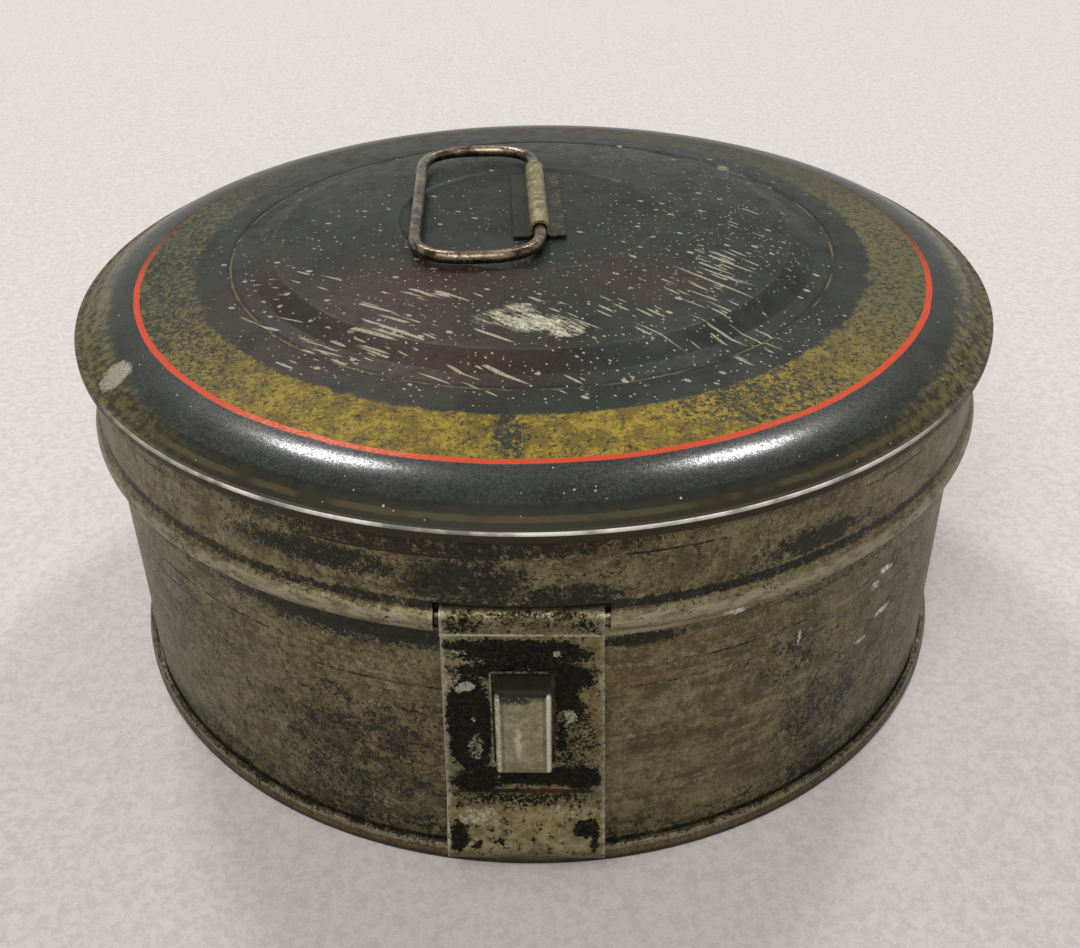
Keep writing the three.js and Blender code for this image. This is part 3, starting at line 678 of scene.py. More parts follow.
@dataclass(frozen=True)
class HaspJapanning:
    """The hasp's black japan, rubbed away in patches, on its edges and on its lip, with painted shade just below the
    lip's fold and under its curl.
    """

    tin: Colour = (0.23, 0.205, 0.115)
    pale: Colour = (0.4, 0.385, 0.3)
    olive: Colour = (0.115, 0.096, 0.042)
    black: Colour = (0.0035, 0.0032, 0.0024)
    greenish: Colour = (0.012, 0.0118, 0.0065)
    rust: Colour = (0.2, 0.105, 0.035)
    brown: Colour = (0.05, 0.036, 0.018)
    dark_rust: Colour = (0.03, 0.005, 0.003)
    half_width: float = 13.0
    taper: float = 0.0175
    taper_top: float = 58.0
    barrel_foot: Pair = (54.4, 55.2)
    barrel_edge: Pair = (54.0, 54.6)
    slot_sides: Pair = (5.2, 5.5)
    slot_span: Pair = (25.4, 46.1)
    slot_top: Pair = (45.8, 46.2)
    fold_span: Pair = (18.4, 19.0)
    black_and_shade_patches: tuple[Patch, ...] = ovals(
        (-9.0, 34, 4.3, 12, 1.0, 0.2), (-9.5, 56.5, 4.0, 2.0, 0.62, 0.4), (2, 57.8, 12, 0.9, 0.5, 0.5),
        (1, 56.6, 13, 0.9, 0.5, 0.5), (7.2, 34, 3.4, 12, 0.58, 0.4), (0, 50.0, 13, 2.6, 0.84, 0.4),
        (10.4, 31, 2.6, 11, 0.52, 0.6), (-8.5, 20.6, 5, 2.4, 0.9, 0.4), (8, 44.5, 4.2, 2.6, 0.9, 0.4),
        (-2, 51.4, 12.8, 1.7, 0.95, 0.25), (0, 46.5, 13, 2.2, 0.9, 0.35), (0, 22.4, 12, 2.6, 0.95, 0.35),
        (9.5, 22.0, 3.9, 2.9, 1.0, 0.3), (6.9, 41, 2.2, 4.6, 0.95, 0.5), (8.2, 37.4, 2.2, 3.4, 0.85, 0.5),
        (6.4, 31, 1.2, 6, 0.8, 0.6), (-11.6, 10.6, 1.8, 2.8, 1.0, 0.25), (10.4, 12.2, 2.2, 1.5, 1.0, 0.3),
        (11.9, 10.8, 0.8, 3.0, 1.0, 0.3), (-8.4, 9.4, 0.9, 0.7, 1.0, 0.4), (-4.4, 9.9, 0.9, 0.7, 1.0, 0.4),
        # The last two patches on the line below are painted shade: under the lip's curl and just below its fold.
        (10, 56.2, 3.0, 1.5, 0.6, 0.5), (0, 5.9, 9, 1.1, 0.9, 0.6), (0, 17.2, 13, 1.3, 0.66, 0.6),
    )
    pale_patches: tuple[Patch, ...] = ovals(
        (-9.6, 42.6, 1.7, 1.1), (-10.4, 50.2, 1.5, 0.8, 0.7), (-7.4, 50.4, 0.9, 1.1, 0.45),
        (5.4, 49.9, 0.6, 0.7, 0.9), (1.2, 47.3, 2.2, 0.5, 0.5), (9.6, 47.4, 2.2, 0.5, 0.5),
        (7.6, 36.3, 1.0, 1.6, 0.9), (-8.2, 29, 1.3, 3.4, 0.72), (-11.6, 44.4, 1.0, 1.6, 0.7),
        (-8.2, 35.4, 0.4, 0.6, 0.7), (-4.5, 22.0, 0.9, 0.5, 0.6), (-8, 14.2, 4.6, 1.7, 0.75, 0.6),
        (7, 15.1, 4.6, 1.1, 0.6, 0.6), (3, 57.2, 5, 0.8, 0.5, 0.7),
    )
    rust_patches: tuple[Patch, ...] = ovals(
        (11.4, 37, 1.4, 4.6, 0.75, 0.6), (1, 13.6, 5, 3.0, 0.3, 0.6), (12, 50.6, 1.2, 2.4, 0.55, 0.6),
        (3, 20.7, 5, 0.7, 0.4, 0.6),
    )

    def material(self) -> Finish:
        """Builds the finish."""
        g = Graph("hasp_japanning")
        fine = g.noise(1.7, 5, 0.8, seed=2)
        torn = g.ragged(2.0, 0.7, 1)
        colour = g.blend(g.clouds(0.35, 5, 0.8, 4, 0.36, 0.62), self.olive, self.tin)
        barrel = g.smooth(g.z, *self.barrel_foot) * g.clouds(1.1, 5, 0.85, 14, 0.38, 0.58)
        # Painted shade, laid in brown: under the lip's curl and just below its fold.
        shaded = (g.smooth(g.z, 8.4, 6.4) | g.smooth(abs(g.z - 17.2), 2.2, 0.8)) * g.smooth(fine, 0.34, 0.56)
        cloudy = g.clouds(0.3, 4, 0.7, 31, 0.5, 0.64)
        rust = g.spots(torn, self.rust_patches) * g.smooth(fine, 0.35, 0.6)
        flecks = g.clouds(0.7, 6, 0.85, 6, 0.55, 0.59)
        # The black mask also carries the painted shade patches of the lip.
        black = g.spots(torn, self.black_and_shade_patches) | (flecks * 0.9)
        black = g.smooth(black * 0.9 + (fine - 0.5) * 1.9, 0.42, 0.58)
        pale = g.spots(torn, self.pale_patches)
        pale = g.smooth(pale * 0.72 + (fine - 0.5) * 1.7, 0.46, 0.64)
        black = black * (1 - pale)
        shade = g.blend(g.clouds(0.9, 5, 0.85, 12, 0.46, 0.58), self.black, self.greenish)
        side = abs(g.x) - (self.taper_top - g.z) * self.taper
        rubbed = side + (g.noise(0.5, 5, 0.8, seed=9) - 0.5) * 4.5
        chipped = g.smooth(rubbed, self.half_width - 0.8, self.half_width - 0.4) * g.smooth(fine, 0.38, 0.54)
        chipped = chipped * g.level(g.smooth(g.x, 4, -4), 0.5, 1.0)
        bright = g.smooth(side, self.half_width - 0.22, self.half_width - 0.08)
        bright = bright * g.level(g.smooth(fine + g.smooth(g.x, 4, -4) * 0.14, 0.46, 0.6), 0.1, 0.8)
        free = g.band(g.z, *self.barrel_edge, 0.1) * g.smooth(g.y, -89.5, -89.8)
        free = free * g.smooth(fine + g.smooth(g.azimuth, 4, -4) * 0.12, 0.44, 0.56)
        mouth = g.band(abs(g.x), *self.slot_sides, 0.1) * g.band(g.z, *self.slot_span, 0.1)
        mouth = mouth | g.band(g.z, *self.slot_top, 0.1) * g.smooth(abs(g.x), 5.4, 5.1)
        mouth = mouth * g.smooth(fine, 0.42, 0.6) * g.smooth(g.x, 5, 2)
        edge = (chipped * 0.75) | bright | free | (mouth * 0.7)
        fold = g.band(g.z, *self.fold_span, 0.5) * g.smooth(abs(g.x), 13, 11)
        colour = g.layers(
            colour,
            ((barrel * 0.5) | (shaded * 0.7) | (cloudy * 0.4), self.brown),
            (rust, self.rust),
            (black, shade),
            (pale * 0.7, self.pale),
            (edge * 0.85, self.pale),
            (fold * 0.9, g.blend(g.smooth(abs(g.x - 3), 6, 2), self.black, self.dark_rust)),
        )
        black = (black * (1 - edge)) | fold
        metallic = g.level(black, 0.7, 0.0)
        roughness = g.level(black, g.level(fine, 0.32, 0.52), 0.34)
        height = black * 0.6 + fine * 0.35
        return g.surface(Surface(colour, metallic, roughness, height, 0.45, 0.25, specular=0.06))


@dataclass(frozen=True)
class BareTinplate:
    """Plain tin with a dull bloom, darker clouds and thin scratches."""

    name: str
    tin: Colour
    dull: Colour
    stain: Colour
    stain_level: float
    roughness: float
    scale: float

    def material(self) -> Finish:
        """Builds the finish."""
        g = Graph(self.name)
        fine = g.noise(2.2, 4, 0.8, seed=3)
        cloud = g.noise(self.scale, 5, 0.75, seed=1)
        stain = g.clouds(self.scale * 1.6, 6, 0.85, 5, self.stain_level, self.stain_level + 0.08)
        marks = g.smooth(g.noise(0.9, 4, 0.7, (1.0, 1.0, 0.12), 14), 0.6, 0.66)
        colour = g.blend(g.smooth(cloud, 0.35, 0.65), self.dull, self.tin)
        colour = g.layers(colour, (stain * 0.8, self.stain), (marks * 0.35, self.stain))
        roughness = g.level(stain, g.level(fine, self.roughness - 0.1, self.roughness + 0.14), 0.6)
        height = fine * 0.4 + cloud - marks * 0.3
        return g.surface(Surface(colour, g.level(stain, 0.9, 0.3), roughness, height, 0.3, 0.15))


INSIDE_TIN = BareTinplate(
    name="inside_tin",
    tin=(0.3, 0.27, 0.2),
    dull=(0.19, 0.165, 0.11),
    stain=(0.07, 0.05, 0.03),
    stain_level=0.56,
    roughness=0.42,
    scale=0.1,
)
CANISTER_TIN = BareTinplate(
    name="canister_tin",
    tin=(0.3, 0.29, 0.255),
    dull=(0.2, 0.19, 0.16),
    stain=(0.1, 0.085, 0.06),
    stain_level=0.6,
    roughness=0.36,
    scale=0.12,
)


@dataclass(frozen=True)
class StapleTin:
    """The staple's tin: a dark stain at its top corner, painted shade over its top bend, and bright rubbed long
    edges.
    """

    tin: Colour = (0.33, 0.305, 0.195)
    dull: Colour = (0.195, 0.18, 0.105)
    stain: Colour = (0.01, 0.0095, 0.0065)
    bright: Colour = (0.6, 0.57, 0.42)
    edge_tin: Colour = (0.7, 0.68, 0.58)
    half_width: float = 4.6
    top_bend_shade: Pair = (43.2, 43.9)
    inner_lines: Pair = (3.3, 3.5)
    stains: tuple[Patch, ...] = ovals(
        (-1.4, 43.4, 3.2, 1.3, 1.0, 0.4), (2.4, 43.9, 2.2, 0.8, 0.6, 0.4), (0, 26.6, 5, 0.6, 0.5, 0.5),
    )
    streaks: tuple[Patch, ...] = ovals((-0.9, 33.5, 0.5, 3.0, 0.7, 0.7))

    def material(self) -> Finish:
        """Builds the finish."""
        g = Graph("staple_tin")
        fine = g.noise(1.9, 5, 0.8, seed=3)
        torn = g.ragged(1.3, 0.6, 4)
        stain = g.spots(torn, self.stains) * g.smooth(fine, 0.3, 0.5)
        # Painted shade: the staple's top bend and top face go black, laid with the stain.
        stain = stain | g.smooth(g.z + (fine - 0.5) * 2.2, *self.top_bend_shade)
        inner = g.band(abs(g.x), *self.inner_lines, 0.25) * g.smooth(g.z, 26, 28)
        edge = g.band(abs(g.x), self.half_width - 0.7, self.half_width - 0.25, 0.15) * g.smooth(g.z, 44.6, 43.8)
        edge = edge * g.smooth(fine + g.smooth(g.x, 0, 4) * 0.08, 0.42, 0.58)
        colour = g.layers(
            g.blend(g.clouds(0.4, 5, 0.8, 1, 0.38, 0.62), self.dull, self.tin),
            (stain * 0.97, self.stain),
            (g.spots(torn, self.streaks), self.bright),
            (inner * 0.4, self.stain),
            (edge * 0.8, self.edge_tin),
        )
        roughness = g.level(stain, g.level(fine, 0.3, 0.5), 0.6)
        return g.surface(Surface(colour, g.level(stain, 0.8, 0.0), roughness, fine, 0.3, 0.15, specular=0.1))


@dataclass(frozen=True)
class Wire:
    """Drawn steel wire gone brown, worn bright where it is handled."""

    steel: Colour = (0.19, 0.15, 0.1)
    brown: Colour = (0.035, 0.026, 0.016)
    bright: Colour = (0.55, 0.46, 0.34)
    rust: Colour = (0.09, 0.04, 0.02)

    def material(self) -> Finish:
        """Builds the finish."""
        g = Graph("brown_wire")
        fine = g.noise(1.8, 5, 0.8, seed=2)
        cloud = g.noise(0.28, 4, 0.7, seed=5)
        rubbed = g.smooth(fine, 0.5, 0.7) * g.smooth(cloud, 0.55, 0.4)
        rust = g.clouds(0.7, 5, 0.85, 8, 0.6, 0.68)
        colour = g.blend(g.smooth(cloud, 0.38, 0.62), self.steel, self.brown)
        colour = g.layers(colour, (rubbed * 0.7, self.bright), (rust * 0.7, self.rust))
        roughness = g.level(rust, g.level(fine, 0.14, 0.34), 0.6)
        return g.surface(Surface(colour, g.level(rust, 0.95, 0.3), roughness, fine + cloud, 0.35, 0.12))


@dataclass(frozen=True)
class HandleTinplate:
    """The handle strap: japanned feet, an arch worn to olive tin."""

    olive: Colour = (0.15, 0.13, 0.045)
    tin: Colour = (0.3, 0.27, 0.16)
    grime: Colour = (0.045, 0.03, 0.016)
    smear: Colour = (0.07, 0.062, 0.028)
    foot_span: Pair = (89.1, 88.75)

    def material(self) -> Finish:
        """Builds the finish."""
        g = Graph("handle_tinplate")
        fine = g.noise(1.4, 5, 0.8, seed=2)
        cloud = g.noise(0.35, 5, 0.75, seed=5)
        grime = g.clouds(0.6, 5, 0.85, 8, 0.54, 0.6)
        foot = g.smooth(g.z + (cloud - 0.5) * 0.8, *self.foot_span)
        worn = g.smooth(fine + (cloud - 0.5) * 0.8, 0.5, 0.62) * g.smooth(g.x, 2.5, 5)
        feet = g.blend(worn, LidJapanning().paint(g), self.smear)
        colour = g.blend(g.smooth(cloud + (fine - 0.5) * 0.8, 0.42, 0.62), self.olive, self.tin)
        colour = g.layers(colour, (grime * 0.75, self.grime), (foot, feet))
        dull = foot | grime
        metallic = g.level(dull, 0.75, 0.05)
        roughness = g.level(dull, g.level(fine, 0.3, 0.5), 0.45)
        return g.surface(Surface(colour, metallic, roughness, fine - grime * 0.5, 0.4, 0.15, specular=0.12))


@dataclass(frozen=True)
class Tabletop:
    """A plain pale floor with a faint grain."""

    pale: Colour = (0.575, 0.538, 0.515)
    grain: Colour = (0.495, 0.46, 0.44)

    def material(self) -> Finish:
        """Builds the finish."""
        g = Graph("tabletop")
        grain = g.noise(0.5, 4, 0.9, seed=2)
        colour = g.blend(g.smooth(grain, 0.42, 0.6), self.pale, self.grain)
        return g.surface(Surface(colour, 0.0, 0.75, grain, 0.1, 0.2, specular=0.2))


# Shapes


@dataclass(frozen=True)
class Dent:
    """A soft hollow in a turned sheet: how deep, at which azimuth and height, and how wide and high."""

    azimuth: float
    height: float
    depth: float
    width: float
    reach: float


@dataclass
class Shell:
    """A closed mesh: points in millimetres, four-sided faces, and 0 or 1 for each face's skin."""

    points: np.ndarray
    faces: np.ndarray
    skins: np.ndarray

    def outward(self) -> "Shell":
        """Turns the faces so that they point outwards.

        The sign of the volume tells: a sixth of the sum of a . (b x c) over the triangles.

        Returns:
            The shell with its faces turned where that sum is negative.
        """
        a, b, c, d = (self.points[self.faces[:, k]] for k in range(4))
        volume = (np.cross(a, b) * c).sum() + (np.cross(a, c) * d).sum()
        return self if volume > 0 else Shell(self.points, self.faces[:, ::-1], self.skins)

    def moved(self, offset: Triple, degrees: float = 0.0) -> "Shell":
        """Turns the points about Z and moves them."""
        c, s = math.cos(math.radians(degrees)), math.sin(math.radians(degrees))
        turn = np.array([[c, s, 0.0], [-s, c, 0.0], [0.0, 0.0, 1.0]])
        return Shell(self.points @ turn + np.array(offset), self.faces, self.skins)


def arc(centre: Pair, radius: float, start: float, end: float, step: float = 12.0) -> np.ndarray:
    """Points of an arc, (cx + r cos t, cy + r sin t), with a bend of 0 at each.

    Args:
        centre: The arc's centre.
        radius: Its radius.
        start: First angle in degrees.
        end: Last angle in degrees.
        step: Largest step in degrees.

    Returns:
        Rows of across, up and bend.
    """
    turns = np.radians(np.linspace(start, end, math.ceil(abs(end - start) / step) + 1))
    return np.stack([centre[0] + radius * np.cos(turns), centre[1] + radius * np.sin(turns), 0 * turns], axis=1)


def bow(start: Pair, end: Pair, rise: float, steps: int) -> np.ndarray:
    """The inner points of a line bowed to its left, end points left out.

    A point at share t stands 4 rise t (1 - t) to the left of the straight line.

    Args:
        start: First end.
        end: Last end.
        rise: Height of the bow at its middle.
        steps: Number of stretches.

    Returns:
        Rows of across, up and bend, with a bend of 0.
    """
    a, b = np.array(start), np.array(end)
    t = np.linspace(0, 1, steps + 1)[1:-1, None]
    left = np.array([a[1] - b[1], b[0] - a[0]]) / np.hypot(*(b - a))
    points = a + (b - a) * t + left * 4 * rise * t * (1 - t)
    return np.hstack([points, np.zeros((len(points), 1))])


def softened(points: np.ndarray, tangents: np.ndarray, steps: int) -> np.ndarray:
    """Swaps each inner corner for the parabola (1-s)^2 A + 2 s (1-s) P + s^2 B.

    A and B lie on the corner's sides, at its tangent length from it. A corner with no tangent length stays.

    Args:
        points: The corners, with both ends.
        tangents: The tangent length at each inner corner.
        steps: Stretches in each bend.

    Returns:
        The softened path.
    """
    sides = np.diff(points, axis=0)
    along = sides / np.linalg.norm(sides, axis=1, keepdims=True)
    corners, reach = points[1:-1, None], tangents[:, None, None]
    a, b = corners - reach * along[:-1, None], corners + reach * along[1:, None]
    s = np.linspace(0, 1, steps + 1)[None, :, None]
    bends = (1 - s) ** 2 * a + 2 * s * (1 - s) * corners + s**2 * b
    keep = (tangents[:, None] > 0) | (np.arange(steps + 1) == 0)
    return np.vstack([points[:1], bends[keep], points[-1:]])


def stations(path: np.ndarray, spacing: float) -> np.ndarray:
    """Places along a path, as index plus share, no further apart than the spacing."""
    lengths = np.linalg.norm(np.diff(path, axis=0), axis=1)
    counts = np.maximum(1, np.ceil(lengths / spacing)).astype(int)
    starts = np.repeat(np.arange(len(counts)), counts)
    within = np.arange(counts.sum()) - np.repeat(np.cumsum(counts) - counts, counts)
    return np.append(starts + within / counts[starts], float(len(counts)))


def along_path(path: np.ndarray, places: np.ndarray) -> np.ndarray:
    """The points of a path at those places, linear between its corners."""
    return np.stack([np.interp(places, np.arange(len(path)), column) for column in path.T], axis=1)


@dataclass(frozen=True)
class SheetPath:
    """The section of a bent sheet: rows of across, up and bend radius along one face, with the metal on its right."""

    rows: np.ndarray
    thickness: float = TIN_SHEET
    steps: int = 5
    spacing: float = 2.2

    def skins(self) -> tuple[np.ndarray, np.ndarray]:
        """Works out both faces of the sheet.

        The far face is the near one moved right by the thickness, mitred at the corners. A bend keeps its centre,
        so its far radius is the near one plus the thickness in a left turn and minus it in a right turn.

        Returns:
            The near and the far face, point for point.
        """
        points, bends = self.rows[:, :2], self.rows[1:-1, 2]
        sides = np.diff(points, axis=0)
        along = sides / np.linalg.norm(sides, axis=1, keepdims=True)
        right = np.stack([along[:, 1], -along[:, 0]], axis=1)
        joined = np.vstack([right[:1], right[:-1] + right[1:], right[-1:]])
        mitre = joined / (joined * np.vstack([right[:1], right])).sum(axis=1, keepdims=True)
        far = points + mitre * self.thickness
        cross = along[:-1, 0] * along[1:, 1] - along[:-1, 1] * along[1:, 0]
        turn = np.arctan2(cross, (along[:-1] * along[1:]).sum(axis=1))
        far_bends = np.where(bends > 0, np.maximum(bends + np.sign(turn) * self.thickness, LEAST_BEND), 0)
        near_path = self._bent(points, bends, turn)
        far_path = self._bent(far, far_bends, turn)
        places = stations(near_path, self.spacing)
        return along_path(near_path, places), along_path(far_path, places)

    def _bent(self, points: np.ndarray, bends: np.ndarray, turn: np.ndarray) -> np.ndarray:
        """Softens the corners, each tangent length r tan(turn / 2), at most a share of the shorter side."""
        lengths = np.linalg.norm(np.diff(points, axis=0), axis=1)
        room = BEND_ROOM * np.minimum(lengths[:-1], lengths[1:])
        return softened(points, np.minimum(bends * np.tan(np.abs(turn) / 2), room), self.steps)

    def revolved(self, azimuths: np.ndarray) -> list[np.ndarray]:
        """Both faces turned round Z."""
        return [turned(face, azimuths) for face in self.skins()]


def full_turn(columns: int, start: float = 0.0) -> np.ndarray:
    """Even azimuths for one turn."""
    return np.linspace(start, start + FULL_TURN, columns, endpoint=False)


def turned(path: np.ndarray, azimuths: np.ndarray) -> np.ndarray:
    """Turns a path round Z: x = r sin a, y = -r cos a, z = height.

    Args:
        path: Rows of radius and height.
        azimuths: Degrees, one for each column, or one for each row and column.

    Returns:
        A grid of points.
    """
    a = np.radians(np.broadcast_to(azimuths, (len(path), np.shape(azimuths)[-1])))
    r, z = path[:, :1], path[:, 1:]
    return np.stack([r * np.sin(a), -r * np.cos(a), z + 0 * a], axis=2)


def dented(grid: np.ndarray, dents: tuple[Dent, ...]) -> np.ndarray:
    """Moves a turned grid inwards by the sum of depth exp(-(da / width)^2 - (dz / reach)^2).

    Args:
        grid: Grid of points.
        dents: The dents.

    Returns:
        The dented grid.
    """
    radius = np.hypot(grid[..., 0], grid[..., 1])
    azimuth = np.degrees(np.arctan2(grid[..., 0], -grid[..., 1]))
    depth = np.zeros_like(radius)
    for dent in dents:
        away = (azimuth - dent.azimuth + FULL_TURN / 2) % FULL_TURN - FULL_TURN / 2
        up = grid[..., 2] - dent.height
        depth += dent.depth * np.exp(-((away / dent.width) ** 2) - (up / dent.reach) ** 2)
    grid = grid.copy()
    grid[..., :2] *= (1 - depth / np.maximum(radius, TINY))[..., None]
    return grid


def sheet(near: np.ndarray, far: np.ndarray, keep: np.ndarray | None = None, wraps: bool = False) -> Shell:
    """Closes two grids of points into one sheet.

    Each kept cell gives a face on both grids, and each side of a kept cell that has no kept neighbour gives a wall
    between them.

    Args:
        near: Grid of the near face.
        far: Grid of the far face.
        keep: Which cells are metal, all of them where left out.
        wraps: True where the last column joins the first.

    Returns:
        The closed sheet.
    """
    rows, columns = near.shape[:2]
    cells = columns if wraps else columns - 1
    keep = np.ones((rows - 1, cells), bool) if keep is None else keep
    ids = np.arange(rows * columns).reshape(rows, columns)
    left, right = ids[:, :cells], np.roll(ids, -1, axis=1)[:, :cells]
    a, b, c, d = left[:-1], right[:-1], right[1:], left[1:]
    offset = rows * columns
    pad = np.pad(keep, ((1, 1), (0, 0)))
    wide = np.pad(keep, ((0, 0), (1, 1)), mode="wrap") if wraps else np.pad(keep, ((0, 0), (1, 1)))
    borders = (
        (keep & ~pad[:-2], a, b),
        (keep & ~pad[2:], c, d),
        (keep & ~wide[:, :-2], d, a),
        (keep & ~wide[:, 2:], b, c),
    )
    front = np.stack([a, b, c, d], axis=2)[keep]
    walls = [np.stack([q, p, p + offset, q + offset], axis=2)[mask] for mask, p, q in borders]
    faces = np.vstack([front, front[:, ::-1] + offset, *walls])
    skins = np.zeros(len(faces), int)
    skins[len(front) : 2 * len(front)] = 1
    points = np.vstack([near.reshape(-1, 3), far.reshape(-1, 3)])
    used, compact = np.unique(faces, return_inverse=True)
    return Shell(points[used], compact.reshape(faces.shape), skins).outward()


def tube(path: np.ndarray, radii: np.ndarray, sides: int, wraps: bool) -> Shell:
    """Carries a circle along a level path: centre + r (cos t across + sin t up).

    Args:
        path: The centres.
        radii: Radius at each centre, 0 at the ends of an open wire.
        sides: Points round the wire.
        wraps: True where the wire is a ring.

    Returns:
        The closed wire.
    """
    ahead, behind = np.roll(path, -1, axis=0), np.roll(path, 1, axis=0)
    if not wraps:
        ahead[-1], behind[0] = path[-1], path[0]
    tangent = ahead - behind
    tangent /= np.maximum(np.linalg.norm(tangent, axis=1, keepdims=True), TINY)
    across = np.stack([tangent[:, 1], -tangent[:, 0], 0 * tangent[:, 0]], axis=1)
    t = np.linspace(0, 2 * np.pi, sides, endpoint=False)[None, :, None]
    circles = np.cos(t) * across[:, None] + np.sin(t) * np.array([0.0, 0.0, 1.0])
    grid = path[:, None] + radii[:, None, None] * circles
    ids = np.arange(grid.shape[0] * sides).reshape(-1, sides)
    nexts = np.roll(ids, -1, axis=0) if wraps else ids[1:]
    ids = ids if wraps else ids[:-1]
    faces = np.stack([ids, np.roll(ids, -1, 1), np.roll(nexts, -1, 1), nexts], axis=2).reshape(-1, 4)
    return Shell(grid.reshape(-1, 3), faces, np.zeros(len(faces), int)).outward()


def strip(path: np.ndarray, across: np.ndarray) -> np.ndarray:
    """Spreads a section of out and up over the widths: point (x, -out, up)."""
    x = np.broadcast_to(across, (len(path), np.shape(across)[-1]))
    return np.stack([x, -path[:, :1] + 0 * x, path[:, 1:] + 0 * x], axis=2)


def added(name: str, data: bpy.types.ID) -> bpy.types.Object:
    """Adds an object to the scene."""
    item = bpy.data.objects.new(name, data)
    bpy.context.scene.collection.objects.link(item)
    return item


def make_piece(name: str, shell: Shell, finishes: list[Finish], body: str, node: str) -> bpy.types.Object:
    """Puts a shell into a Blender object that stands for a CAD node.

    Args:
        name: The piece's name.
        shell: Its mesh, in millimetres.
        finishes: Materials of the two skins, or one for both.
        body: The CAD body that it rides on.
        node: The CAD node that it replaces.

    Returns:
        The new object.
    """
    mesh = bpy.data.meshes.new(name)
    mesh.from_pydata((shell.points * MM).tolist(), [], shell.faces.tolist())
    for finish in finishes:
        mesh.materials.append(finish)
    mesh.polygons.foreach_set("material_index", np.minimum(shell.skins, len(finishes) - 1))
    work = bmesh.new()
    work.from_mesh(mesh)
    bmesh.ops.remove_doubles(work, verts=work.verts, dist=MERGE_REACH)
    work.to_mesh(mesh)
    work.free()
    mesh.shade_smooth()
    mesh.set_sharp_from_angle(angle=CREASE_ANGLE)
    piece = added(name, mesh)
    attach(piece, body)
    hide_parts(node)
    LOG.info("made %s: %d faces, rides on %s", name, len(mesh.polygons), body)
    return piece


# The tin


@dataclass(frozen=True)
class RimWire:
    """The lid's wire: a ring with a bare straight stretch at the front and at the back."""

    ring_radius: float = 89.1
    height: float = 56.5
    radius: float = 1.4
    flat_half_width: float = 13.94
    tail: float = 2.3
    columns: int = 288
    sides: int = 20

    @property
    def flat_distance(self) -> float:
        """Distance of a straight stretch from the middle."""
        return math.sqrt(self.ring_radius**2 - self.flat_half_width**2)

    def shell(self) -> Shell:
        """The ring: a circle whose Y is held between the straight stretches."""
        a = np.radians(full_turn(self.columns))
        y = np.clip(-self.ring_radius * np.cos(a), -self.flat_distance, self.flat_distance)
        path = np.stack([self.ring_radius * np.sin(a), y, self.height + 0 * a], axis=1)
        return tube(path, np.full(len(path), self.radius), self.sides, True)

    def barrel(self, face: float) -> np.ndarray:
        """A strap's path from its tail, over the wire, behind and below it, to the top of its plate at that face."""
        inner, outer = self.radius + REST_GAP, self.radius + REST_GAP + TIN_SHEET
        turn = face - self.flat_distance - TIN_SHEET
        middle = self.flat_distance
        turn_height = self.height - outer - turn
        tail = [middle + inner, self.height - self.tail, 0]
        over = arc((middle, self.height), inner, 0, 270)
        return np.vstack([tail, over, arc((middle, turn_height), turn + TIN_SHEET, 90, 0)[1:]])


